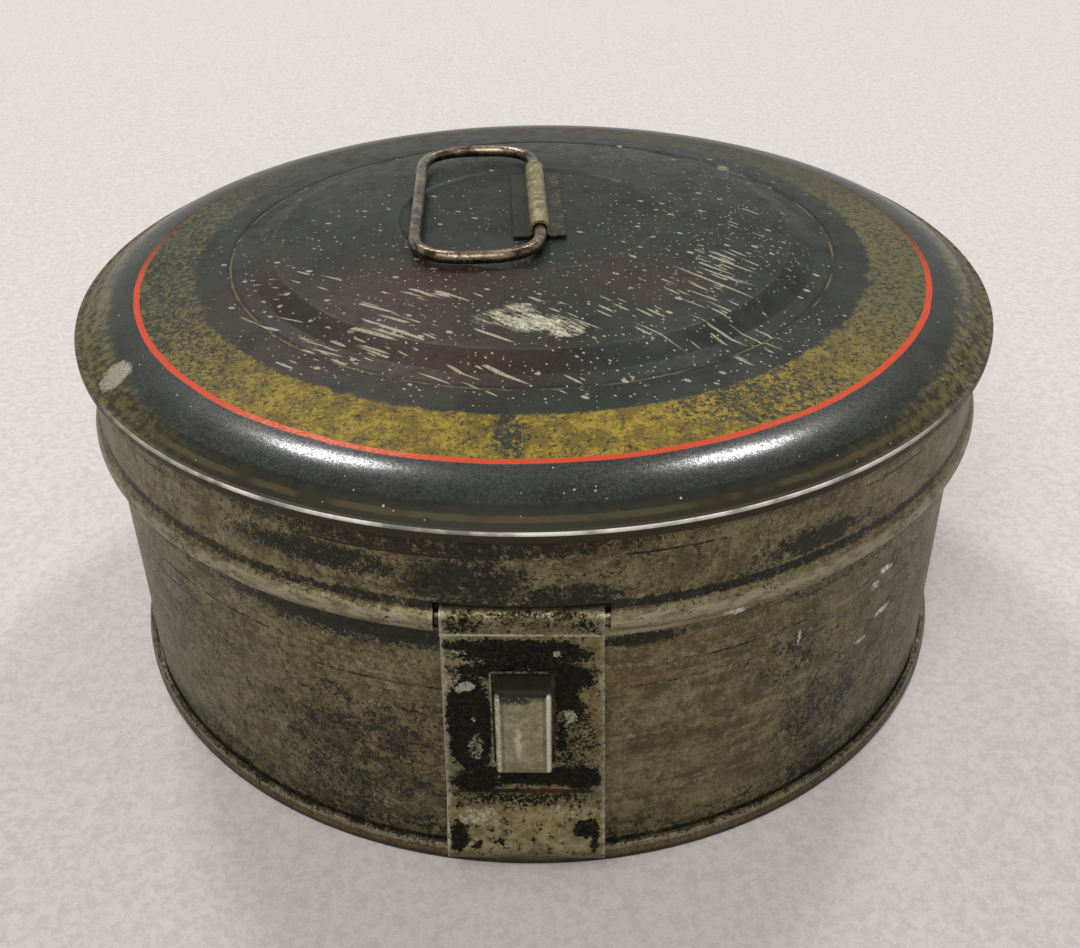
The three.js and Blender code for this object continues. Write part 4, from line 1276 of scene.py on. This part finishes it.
@dataclass(frozen=True)
class Drum:
    """The tin's body: wall, foot and hinge strap."""

    wall_radius: float = 88.6
    shoulder_height: float = 54.0
    shoulder_rounding: float = 1.3
    neck_radius: float = 85.503
    neck_fillet: float = 0.8
    rim_height: float = 71.5
    hem_radius: float = 84.303
    hem_depth: float = 2.5
    hem_rounding: float = 0.55
    wall_foot: float = 0.8
    seam_azimuth: float = -164.0
    seam_width: float = 5.0
    seam_rise: float = 0.4
    seam_span: Pair = (4.2, 52.7)
    seam_columns: tuple[float, ...] = (-1.12, -1.0, -0.9, 0.0, 0.85, 0.97, 1.0, 1.1)
    seam_clear: float = 1.3
    seam_edge: Pair = (1.05, 0.12)
    seam_fade: Pair = (0.6, 0.5)
    columns: int = 300
    foot_radius: float = 90.2
    foot_height: float = 3.9
    foot_step: float = 0.3
    foot_belly: float = 2.0
    foot_rounding: float = 0.9
    floor_rounding: float = 0.8
    channel_width: float = 2.1
    floor_underside: float = 2.0
    floor_bead: tuple[Pair, ...] = ((6.0, 0.0), (7.2, 0.35), (8.4, 0.0))
    leaf_half_width: float = 13.0
    leaf_columns: int = 27
    leaf_foot: float = 27.0
    leaf_corner: float = 4.0
    leaf_blend: Pair = (49.2, 52.7)
    dents: tuple[Dent, ...] = (
        Dent(44, 43, 0.3, 3.5, 7), Dent(50, 20, 0.25, 7, 11), Dent(-38, 30, 0.28, 9, 14), Dent(-70, 22, 0.3, 6, 12),
        Dent(-112, 36, 0.3, 7, 9), Dent(95, 30, 0.28, 8, 14), Dent(140, 24, 0.3, 9, 12), Dent(22, 14, 0.15, 6, 6),
    )

    def wall(self) -> Shell:
        """The wall: hem, neck, shoulder and drum in one sheet, with the lapped seam pushed out of it.

        The seam adds rise times a plateau over the azimuth and the height to the radius of the near face.

        Returns:
            The wall's shell.
        """
        low, high = self.seam_span
        rows = [
            (self.hem_radius, self.rim_height - self.hem_depth, 0),
            (self.hem_radius, self.rim_height, self.hem_rounding),
            (self.neck_radius, self.rim_height, self.hem_rounding),
            (self.neck_radius, self.shoulder_height, self.neck_fillet),
            (self.wall_radius, self.shoulder_height, self.shoulder_rounding),
            *((self.wall_radius, height, 0) for height in (high, low, self.wall_foot)),
        ]
        near, far = SheetPath(np.array(rows)).skins()
        half = math.degrees(self.seam_width / 2 / self.wall_radius)
        edges = np.array(self.seam_columns) * half + self.seam_azimuth
        even = full_turn(self.columns, -FULL_TURN / 2)
        azimuths = np.sort(np.append(even[np.abs(even - self.seam_azimuth) > self.seam_clear * half], edges))
        outer, inner = dented(turned(near, azimuths), self.dents), dented(turned(far, azimuths), self.dents)
        reach, slope = self.seam_edge
        lap = np.clip((reach - np.abs(azimuths - self.seam_azimuth) / half) / slope, 0, 1)
        drop, fade = self.seam_fade
        tall = np.clip((near[:, 1] - low + drop) / fade, 0, 1) * np.clip((high - near[:, 1]) / fade, 0, 1)
        rise = self.seam_rise * tall[:, None] * lap[None] * (near[:, :1] > self.wall_radius - 0.1)
        outer[..., :2] *= (1 + rise / self.wall_radius)[..., None]
        return sheet(outer, inner, wraps=True)

    def foot(self) -> Shell:
        """The bottom disc and its folded foot seam, in one turned sheet."""
        channel, floor = self.wall_radius - self.channel_width, self.floor_underside
        step = self.foot_height - self.foot_step
        rows = [
            (self.wall_radius + REST_GAP, step, 0),
            (self.foot_radius - 0.5, step, self.foot_rounding),
            (self.foot_radius, self.foot_height - self.foot_belly, 2.0),
            (self.foot_radius, 0.0, self.foot_rounding),
            (channel, 0.0, 0.4),
            (channel, floor, 0.5),
            *((channel - reach, floor + rise, self.floor_rounding) for reach, rise in self.floor_bead),
            (0.0, floor, 0),
        ]
        faces = SheetPath(np.array(rows), spacing=4.0).revolved(full_turn(self.columns))
        return sheet(*faces, wraps=True)

    def leaf(self, wire: RimWire) -> Shell:
        """The hinge strap.

        Its leaf falls back from flat to the drum's round, r - sqrt(r^2 - x^2), below the barrel.

        Args:
            wire: The wire that its barrel holds.

        Returns:
            The leaf's shell, turned to the back.
        """
        face = self.wall_radius + REST_GAP + TIN_SHEET
        low, high = self.leaf_blend
        rows = np.vstack([wire.barrel(face), [face, high, 0], [face, low, 0], [face, self.leaf_foot, 0]])
        near, far = SheetPath(rows, spacing=0.8).skins()
        t = np.clip((near[:, 1] - self.leaf_foot) / self.leaf_corner, 0, 1)
        half = self.leaf_half_width - self.leaf_corner * (1 - np.sqrt(1 - (1 - t) ** 2))
        across = np.linspace(-1, 1, self.leaf_columns)[None] * half[:, None]
        s = np.clip((high - near[:, 1]) / (high - low), 0, 1)[:, None]
        fall = (face - np.sqrt(face**2 - across**2)) * s * s * (3 - 2 * s)
        front, back = strip(near, across), strip(far, across)
        front[..., 1] += fall
        back[..., 1] += fall
        return sheet(front, back).moved((0, 0, 0), FULL_TURN / 2)

    def build(self, wire: RimWire, outside: Finish, inside: Finish) -> None:
        """Makes the drum's pieces."""
        make_piece("wall_sheet", self.wall(), [outside, inside], "tin", "body_wall")
        make_piece("foot_sheet", self.foot(), [outside, inside], "tin", "body_bottom")
        make_piece("hinge_strap", self.leaf(wire), [outside], "tin", "hinge_leaf")


@dataclass(frozen=True)
class Lid:
    """The stamped lid and its beaded skirt."""

    radius: float = 92.0
    edge_height: float = 75.5
    edge_drop: float = 2.1
    skirt_radius: float = 90.2
    skirt_rounding: float = 0.3
    bead_radius: float = 2.4
    bead_turn: Pair = (58.0, -222.0)
    notch_half_width: float = 13.94
    notch_top: float = 60.2
    band_line: float = 4.2
    edge_rounding: float = 0.75
    edge_fold: float = 1.5
    crown: tuple[Triple, ...] = ((0.0, 87.8, 0), (26.0, 87.8, 1.6), (27.0, 88.3, 0.9))
    steps: tuple[Triple, ...] = (
        (52.6, 85.2, 2.6), (57.4, 82.9, 1.8), (60.2, 82.4, 0.5), (61.0, 82.05, 0.5), (61.8, 82.4, 0.5),
        (79.3, 80.1, 1.5),
    )
    shoulder: Triple = (90.9, 75.5, 0.5)
    dome_rise: float = 0.45
    shoulder_rise: float = 1.0
    wave_radii: Pair = (26.0, 88.0)
    hollows: tuple[tuple[float, ...], ...] = (
        (0.28, 33, -27, 9, 8), (0.22, -36, -44, 10, 7), (0.2, 20, 48, 12, 10),
    )
    columns: int = 300
    dents: tuple[Dent, ...] = (
        Dent(-30, 68, 0.18, 10, 5), Dent(36, 65, 0.2, 8, 5), Dent(-80, 66, 0.22, 9, 6), Dent(80, 68, 0.2, 12, 6),
        Dent(170, 66, 0.2, 9, 5), Dent(-140, 68, 0.2, 8, 5),
    )

    def top(self) -> Shell:
        """The stepped dome and its folded edge, turned, with a slow wave and soft hollows pressed down.

        Returns:
            The dome's shell.
        """
        low = self.edge_height - self.edge_drop
        edge = [(self.radius, self.edge_height, self.edge_rounding), (self.radius, low, self.edge_rounding)]
        dome = bow(self.crown[-1][:2], self.steps[0][:2], self.dome_rise, 7)
        slope = bow(self.steps[-1][:2], self.shoulder[:2], self.shoulder_rise, 9)
        fold = [self.radius - self.edge_fold, low, 0]
        rows = np.vstack([self.crown, dome, self.steps, slope, self.shoulder, edge, fold])
        outer, inner = SheetPath(rows).revolved(full_turn(self.columns))
        wave = self._wave(outer)
        outer[..., 2] -= wave
        inner[..., 2] -= wave
        return sheet(outer, inner, wraps=True)

    def _wave(self, grid: np.ndarray) -> np.ndarray:
        """How far the dome is pressed down: slow sines and soft hollows, fading out at the edge and the middle."""
        x, y = grid[..., 0], grid[..., 1]
        radius = np.hypot(x, y)
        slow = 0.05 * (2 + np.sin(x / 13 + 1) * np.cos(y / 17) + np.sin((x + y) / 23 + 2))
        hollow = sum(
            depth * np.exp(-(((x - across) / width) ** 2) - ((y - along) / length) ** 2)
            for depth, across, along, width, length in self.hollows
        )
        inner, outer = self.wave_radii
        fade = np.clip((outer - radius) / 8, 0, 1) * np.clip((radius - inner) / 3, 0, 1)
        return (slow + hollow) * fade

    def skirt(self, wire: RimWire) -> Shell:
        """The band with its bead curled round the wire, cut away at the front and the back.

        The notch's sides stand at a fixed X, so each row's columns slide to asin(half width / radius) there.

        Args:
            wire: The wire inside the bead.

        Returns:
            The skirt's shell.
        """
        flange = self.edge_height - 2 * TIN_SHEET - REST_GAP
        curl = arc((wire.ring_radius, wire.height), self.bead_radius, *self.bead_turn, step=10)
        band = [
            (self.radius - TIN_SHEET - REST_GAP, flange, 0),
            (self.skirt_radius, flange, self.skirt_rounding),
            (self.skirt_radius, self.notch_top + self.band_line, 0),
            (self.skirt_radius, self.notch_top, 0),
        ]
        near, far = SheetPath(np.vstack([band, curl]), spacing=1.6).skins()
        even = full_turn(self.columns, -FULL_TURN / 2)
        edge = math.degrees(math.asin(self.notch_half_width / self.skirt_radius))
        marks = np.array([-edge, edge, 180 - edge, edge - 180])
        clear = np.abs(even[:, None] - marks[None]).min(axis=1) > 0.5
        azimuths = np.sort(np.append(even[clear], marks))
        middle = (azimuths + np.diff(azimuths, append=azimuths[0] + FULL_TURN) / 2 + 90) % 180 - 90
        low = near[1:, 1] < self.notch_top - TINY
        keep = ~(low[:, None] & (np.abs(middle) < edge)[None])
        outer = turned(near, self._slid(azimuths, near[:, 0], edge))
        inner = turned(far, self._slid(azimuths, far[:, 0], edge))
        return sheet(dented(outer, self.dents), dented(inner, self.dents), keep, True)

    def _slid(self, azimuths: np.ndarray, radii: np.ndarray, edge: float) -> np.ndarray:
        """Each row's azimuths, slid so that those at the edge angle reach the notch's X at the row's radius."""
        local = (azimuths + 90) % 180 - 90
        away = np.abs(local)[None]
        wanted = np.degrees(np.arcsin(self.notch_half_width / radii))[:, None]
        slid = np.where(away <= edge, away * wanted / edge, 90 - (90 - away) * (90 - wanted) / (90 - edge))
        return azimuths[None] + np.sign(local)[None] * (slid - away)

    def build(self, wire: RimWire, japan: Finish, drum: Finish, inside: Finish, steel: Finish) -> None:
        """Makes the lid's pieces."""
        make_piece("lid_dome", self.top(), [japan, inside], "lid", "lid_top")
        make_piece("lid_band", self.skirt(wire), [drum, inside], "lid", "lid_skirt")
        make_piece("rim_wire_ring", wire.shell(), [steel], "lid", "lid_rim_wire")


@dataclass(frozen=True)
class Closure:
    """The slotted hasp and the staple that stands through it."""

    face: float = 89.6
    half_width: float = 13.0
    foot_half_width: float = 13.7
    slot_half_width: float = 5.2
    slot_span: Pair = (25.5, 45.8)
    lip_top: float = 18.6
    lip_bend: float = 3.4
    lip_turn: float = 26.0
    curl_centre: Pair = (91.0, 7.919)
    curl_radius: float = 2.98
    curl_end: float = -70.0
    staple_root: float = 88.9
    staple_face: float = 93.0
    staple_half_width: float = 4.6
    staple_span: Pair = (26.3, 45.0)
    staple_rounding: float = 0.9
    staple_edge: float = 0.35
    staple_edge_share: float = 0.16
    columns: tuple[int, int, int] = (10, 11, 37)

    def hasp(self, wire: RimWire) -> Shell:
        """The hasp: barrel, plate and flared lip, wider to its foot outside the slot.

        Args:
            wire: The wire that it hangs on.

        Returns:
            The hasp's shell.
        """
        low, high = self.slot_span
        bend = arc((self.face + self.lip_bend, self.lip_top), self.lip_bend, 180, 180 + self.lip_turn, 6)
        curl = arc(self.curl_centre, self.curl_radius, self.lip_turn, self.curl_end, 8)
        rows = np.vstack([wire.barrel(self.face), [self.face, high, 0], [self.face, low, 0], bend, curl])
        near, far = SheetPath(rows, spacing=0.8).skins()
        slot = self.slot_half_width
        arm = np.linspace(slot, self.half_width, self.columns[0])
        lines = np.concatenate([-arm[::-1], np.linspace(-slot, slot, self.columns[1])[1:-1], arm])
        share = np.clip((wire.height - near[:, 1:]) / (wire.height - self.lip_top), 0, 1)
        widen = (self.foot_half_width - slot) / (self.half_width - slot) - 1
        beyond = np.maximum(np.abs(lines) - slot, 0)[None] * widen * share
        across = lines[None] + np.sign(lines)[None] * beyond
        middle_z, middle_x = (near[1:, 1] + near[:-1, 1]) / 2, (lines[1:] + lines[:-1]) / 2
        plate = (near[1:, 0] < self.face + 0.01) & (np.arange(len(middle_z)) > np.argmax(near[:, 1]))
        hole = (middle_z > low) & (middle_z < high) & plate
        keep = ~(hole[:, None] & (np.abs(middle_x) < slot)[None])
        return sheet(strip(near, across), strip(far, across), keep)

    def staple(self) -> Shell:
        """The staple: a strip bent to a bridge, whose long sides fall back by edge t^2 over their last part."""
        low, high = self.staple_span
        bridge = [(self.staple_face, height, self.staple_rounding) for height in (high, low)]
        rows = [(self.staple_root, high, 0), *bridge, (self.staple_root, low, 0)]
        near, far = SheetPath(np.array(rows), spacing=0.8).skins()
        across = np.linspace(-self.staple_half_width, self.staple_half_width, self.columns[2])
        share = self.staple_edge_share
        t = np.clip((np.abs(across) / self.staple_half_width - (1 - share)) / share, 0, 1)
        lift = np.clip((near[:, 0] - self.staple_root) / 2, 0, 1)[:, None]
        fall = self.staple_edge * t[None] ** 2 * lift
        front, back = strip(near, across), strip(far, across)
        front[..., 1] += fall
        back[..., 1] += fall
        return sheet(front, back)

    def build(self, wire: RimWire, japan: Finish, bare: Finish) -> None:
        """Makes the hasp and the staple."""
        make_piece("hasp_plate", self.hasp(wire), [japan], "hasp", "hasp")
        make_piece("staple_strip", self.staple(), [bare], "tin", "hasp_staple")


@dataclass(frozen=True)
class Handle:
    """The strap on the lid and the wire handle in it."""

    centre: Pair = (1.3, 5.0)
    degrees: float = 3.0
    strap_length: float = 34.0
    foot_reach: float = 5.2
    foot_top: float = 88.6
    fillet: float = 0.5
    axis_height: float = 89.85
    arch_radius: float = 1.975
    wire_radius: float = 1.25
    length: float = 58.6
    width: float = 24.4
    corner: float = 10.8
    end_gap: float = 0.5
    columns: int = 35
    bend_steps: int = 18
    spacing: float = 1.2
    sides: int = 24

    def strap(self) -> Shell:
        """The strap: two feet, an arch over the wire and a fillet on each side, carried along the lid."""
        up = self.axis_height - self.foot_top - self.fillet
        out = math.sqrt((self.arch_radius + self.fillet) ** 2 - up**2)
        lean = math.degrees(math.atan2(up, out))
        height = self.foot_top + self.fillet
        left, right = ([side * self.foot_reach, self.foot_top, 0] for side in (-1, 1))
        rise = arc((-out, height), self.fillet, -90, lean, 20)
        arch = arc((0, self.axis_height), self.arch_radius, 180 + lean, -lean)[1:-1]
        fall = arc((out, height), self.fillet, 180 - lean, 270, 20)
        near, far = SheetPath(np.vstack([left, rise, arch, fall, right]), spacing=0.7).skins()
        along = np.linspace(-self.strap_length / 2, self.strap_length / 2, self.columns)
        front, back = strip(near, along)[..., [1, 0, 2]], strip(far, along)[..., [1, 0, 2]]
        front[..., 0] *= -1
        back[..., 0] *= -1
        return sheet(front, back).moved((*self.centre, 0), self.degrees)

    def bail(self) -> Shell:
        """The loose handle: a round wire bent to an oblong, its ends meeting inside the strap."""
        side = [(0, self.end_gap / 2), (0, self.length / 2), (-self.width, self.length / 2)]
        corners = np.array(side + [(across, -along) for across, along in reversed(side)])
        path = softened(corners, np.full(len(corners) - 2, self.corner), self.bend_steps)
        path = along_path(path, stations(path, self.spacing))
        path = np.hstack([path, np.full((len(path), 1), self.axis_height)])
        path = np.vstack([path[:1], path, path[-1:]])
        radii = np.full(len(path), self.wire_radius)
        radii[[0, -1]] = 0
        return tube(path, radii, self.sides, False).moved((*self.centre, 0), self.degrees)

    def build(self, tinplate: Finish, steel: Finish) -> None:
        """Makes the strap and the wire handle."""
        make_piece("strap_strip", self.strap(), [tinplate], "lid", "handle_strap")
        make_piece("bail_wire", self.bail(), [steel], "bail", "handle_bail")


@dataclass(frozen=True)
class Canister:
    """One of the seven round canisters inside: wall, bottom and pull-off lid."""

    index: int
    pitch: float = 55.86
    lid_radius: float = 27.68
    wall_radius: float = 26.98
    sheet: float = 0.4
    foot: float = 2.8
    top: float = 64.3
    flange: float = 3.0
    lid_depth: float = 8.0
    panel_radius: float = 22.14
    recess: float = 0.6
    rings: Pair = (9.0, 17.0)
    ring_depth: float = 0.35
    groove_drop: float = 2.4
    bend: float = 0.8
    columns: int = 96

    @property
    def centre(self) -> Triple:
        """Where its middle stands: six round one."""
        if self.index == RING_COUNT:
            return (0.0, 0.0, 0.0)
        turn = math.radians(FULL_TURN / RING_COUNT * self.index)
        return (self.pitch * math.cos(turn), self.pitch * math.sin(turn), 0.0)

    def _turned(self, rows: list[Triple]) -> Shell:
        """Turns a section into a sheet round the canister's own middle."""
        faces = SheetPath(np.array(rows), self.sheet, steps=4, spacing=3.0).revolved(full_turn(self.columns))
        return sheet(*faces, wraps=True).moved(self.centre)

    def wall(self) -> Shell:
        """The wall: a plain drum with a shallow groove under its lid."""
        gap = self.sheet + REST_GAP
        r = self.wall_radius
        low, high = self.foot + gap, self.top - gap
        groove = self.top - self.lid_depth - self.groove_drop
        pressed = [(r, groove + 0.9, 0.6), (r - 0.3, groove, 0.6), (r, groove - 0.9, 0.6)]
        return self._turned([(r, high, 0), *pressed, (r, low, 0)])

    def bottom(self) -> Shell:
        """The bottom: a shallow pan outside the wall."""
        r = self.lid_radius
        return self._turned([(r, self.foot + self.flange, 0), (r, self.foot, 0.5), (0, self.foot, 0)])

    def cap(self) -> Shell:
        """The lid: a recessed panel with two pressed rings, a flat rim and a deep side."""
        r, panel, bend = self.lid_radius, self.panel_radius, self.bend
        floor, top = self.top - self.recess, self.top
        rows = [(0, floor, 0)]
        for ring in self.rings:
            rows += [(ring - bend, floor, bend), (ring, floor - self.ring_depth, bend), (ring + bend, floor, bend)]
        rim = [(panel - 1, floor, 0.5), (panel, top, 0.5), (r, top, 0.6), (r, top - self.lid_depth, 0)]
        return self._turned(rows + rim)

    def build(self, tinplate: Finish) -> None:
        """Makes the three pieces."""
        number = self.index + 1
        name, can = f"canister_{number}", f"spice_can_{number}"
        make_piece(f"{name}_wall", self.wall(), [tinplate], can, f"{can}_wall")
        make_piece(f"{name}_bottom", self.bottom(), [tinplate], can, f"{can}_bottom")
        make_piece(f"{name}_cap", self.cap(), [tinplate], f"spice_lid_{number}", f"{can}_lid")


@dataclass(frozen=True)
class Lamp:
    """A round studio lamp: place, point that it faces, width in metres and power in watts."""

    name: str
    place: Triple
    target: Triple
    width: float
    power: float

    def build(self) -> None:
        """Adds the lamp."""
        data = bpy.data.lights.new(self.name, "AREA")
        data.shape = "DISK"
        data.size = self.width
        data.energy = self.power
        lamp = added(self.name, data)
        lamp.location = self.place
        aim = Vector(self.target) - Vector(self.place)
        lamp.rotation_euler = aim.to_track_quat("-Z", "Y").to_euler()


@dataclass(frozen=True)
class Studio:
    """The camera at the photograph's angle, the pale floor and the soft light."""

    eye: Triple = (0.006274, -0.239599, 0.185365)
    forward: Triple = (-0.03307, 0.84701, -0.53054)
    upward: Triple = (0.00212, 0.53089, 0.84744)
    sensor: float = 36.0
    lens: float = 41.6
    shift: Pair = (0.0185, -0.037)
    clip: Pair = (0.01, 20.0)
    floor_half: float = 4.0
    world: Colour = (0.39, 0.386, 0.374)
    seen: Colour = (0.72, 0.71, 0.69)
    seen_by: tuple[str, ...] = ("Is Camera Ray", "Is Glossy Ray", "Is Transmission Ray")
    lamps: tuple[Lamp, ...] = (
        Lamp("lamp_back_left", (-0.915, 1.564, 2.42), (-0.03, -0.077, 0.08), 0.5, 29.0),
        Lamp("lamp_back_right", (0.865, 1.515, 2.48), (0.034, -0.075, 0.08), 0.5, 29.0),
        Lamp("lamp_front", (-0.75, -2.7, 3.3), (0.0, 0.0, 0.05), 3.0, 130.0),
    )

    def camera(self) -> None:
        """Adds the camera: its axes are right, up and back."""
        data = bpy.data.cameras.new("photo_camera")
        data.sensor_width = self.sensor
        data.lens = self.lens
        data.shift_x, data.shift_y = self.shift
        data.clip_start, data.clip_end = self.clip
        camera = added("photo_camera", data)
        ahead, up = Vector(self.forward).normalized(), Vector(self.upward)
        right = ahead.cross(up).normalized()
        axes = Matrix((right, right.cross(ahead), -ahead)).transposed()
        camera.matrix_world = Matrix.Translation(self.eye) @ axes.to_4x4()
        bpy.context.scene.camera = camera

    def floor(self) -> None:
        """Adds the floor, with its tabletop finish."""
        half = self.floor_half
        mesh = bpy.data.meshes.new("floor")
        corners = [(-half, -half, 0), (half, -half, 0), (half, half, 0), (-half, half, 0)]
        mesh.from_pydata(corners, [], [(0, 1, 2, 3)])
        mesh.materials.append(Tabletop().material())
        floor = added("floor", mesh)

    def backdrop(self) -> None:
        """Sets the world: one colour for the light, another where a camera, mirrored or transmitted ray sees it."""
        world = bpy.data.worlds.new("studio")
        world.use_nodes = True
        nodes = Tree(world.node_tree)
        rays = nodes.bare_node("ShaderNodeLightPath", {}, {}).outputs
        seen = reduce(or_, [Value(nodes, rays[name]) for name in self.seen_by])
        colour = nodes.blend(seen, self.world, self.seen)
        world.node_tree.links.new(colour.socket, world.node_tree.nodes["Background"].inputs["Color"])
        bpy.context.scene.world = world

    def build(self) -> None:
        """Sets up camera, floor, lamps and world."""
        self.camera()
        self.floor()
        for lamp in self.lamps:
            lamp.build()
        self.backdrop()
        bpy.context.scene.view_settings.view_transform = "Standard"
        LOG.info("set up the studio with %d lamps", len(self.lamps))


def main() -> None:
    """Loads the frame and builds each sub-assembly in order."""
    logging.basicConfig(level=logging.INFO, format="%(name)s: %(message)s")
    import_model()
    Studio().build()
    wire = RimWire()
    japan, drum = LidJapanning().material(), DrumJapanning().material()
    hasp, steel = HaspJapanning().material(), Wire().material()
    staple = StapleTin().material()
    inside, canister = INSIDE_TIN.material(), CANISTER_TIN.material()
    Drum().build(wire, drum, inside)
    Lid().build(wire, japan, drum, inside, steel)
    Closure().build(wire, hasp, staple)
    Handle().build(HandleTinplate().material(), steel)
    for index in range(RING_COUNT + 1):
        Canister(index).build(canister)


if __name__ == "__main__":
    main()
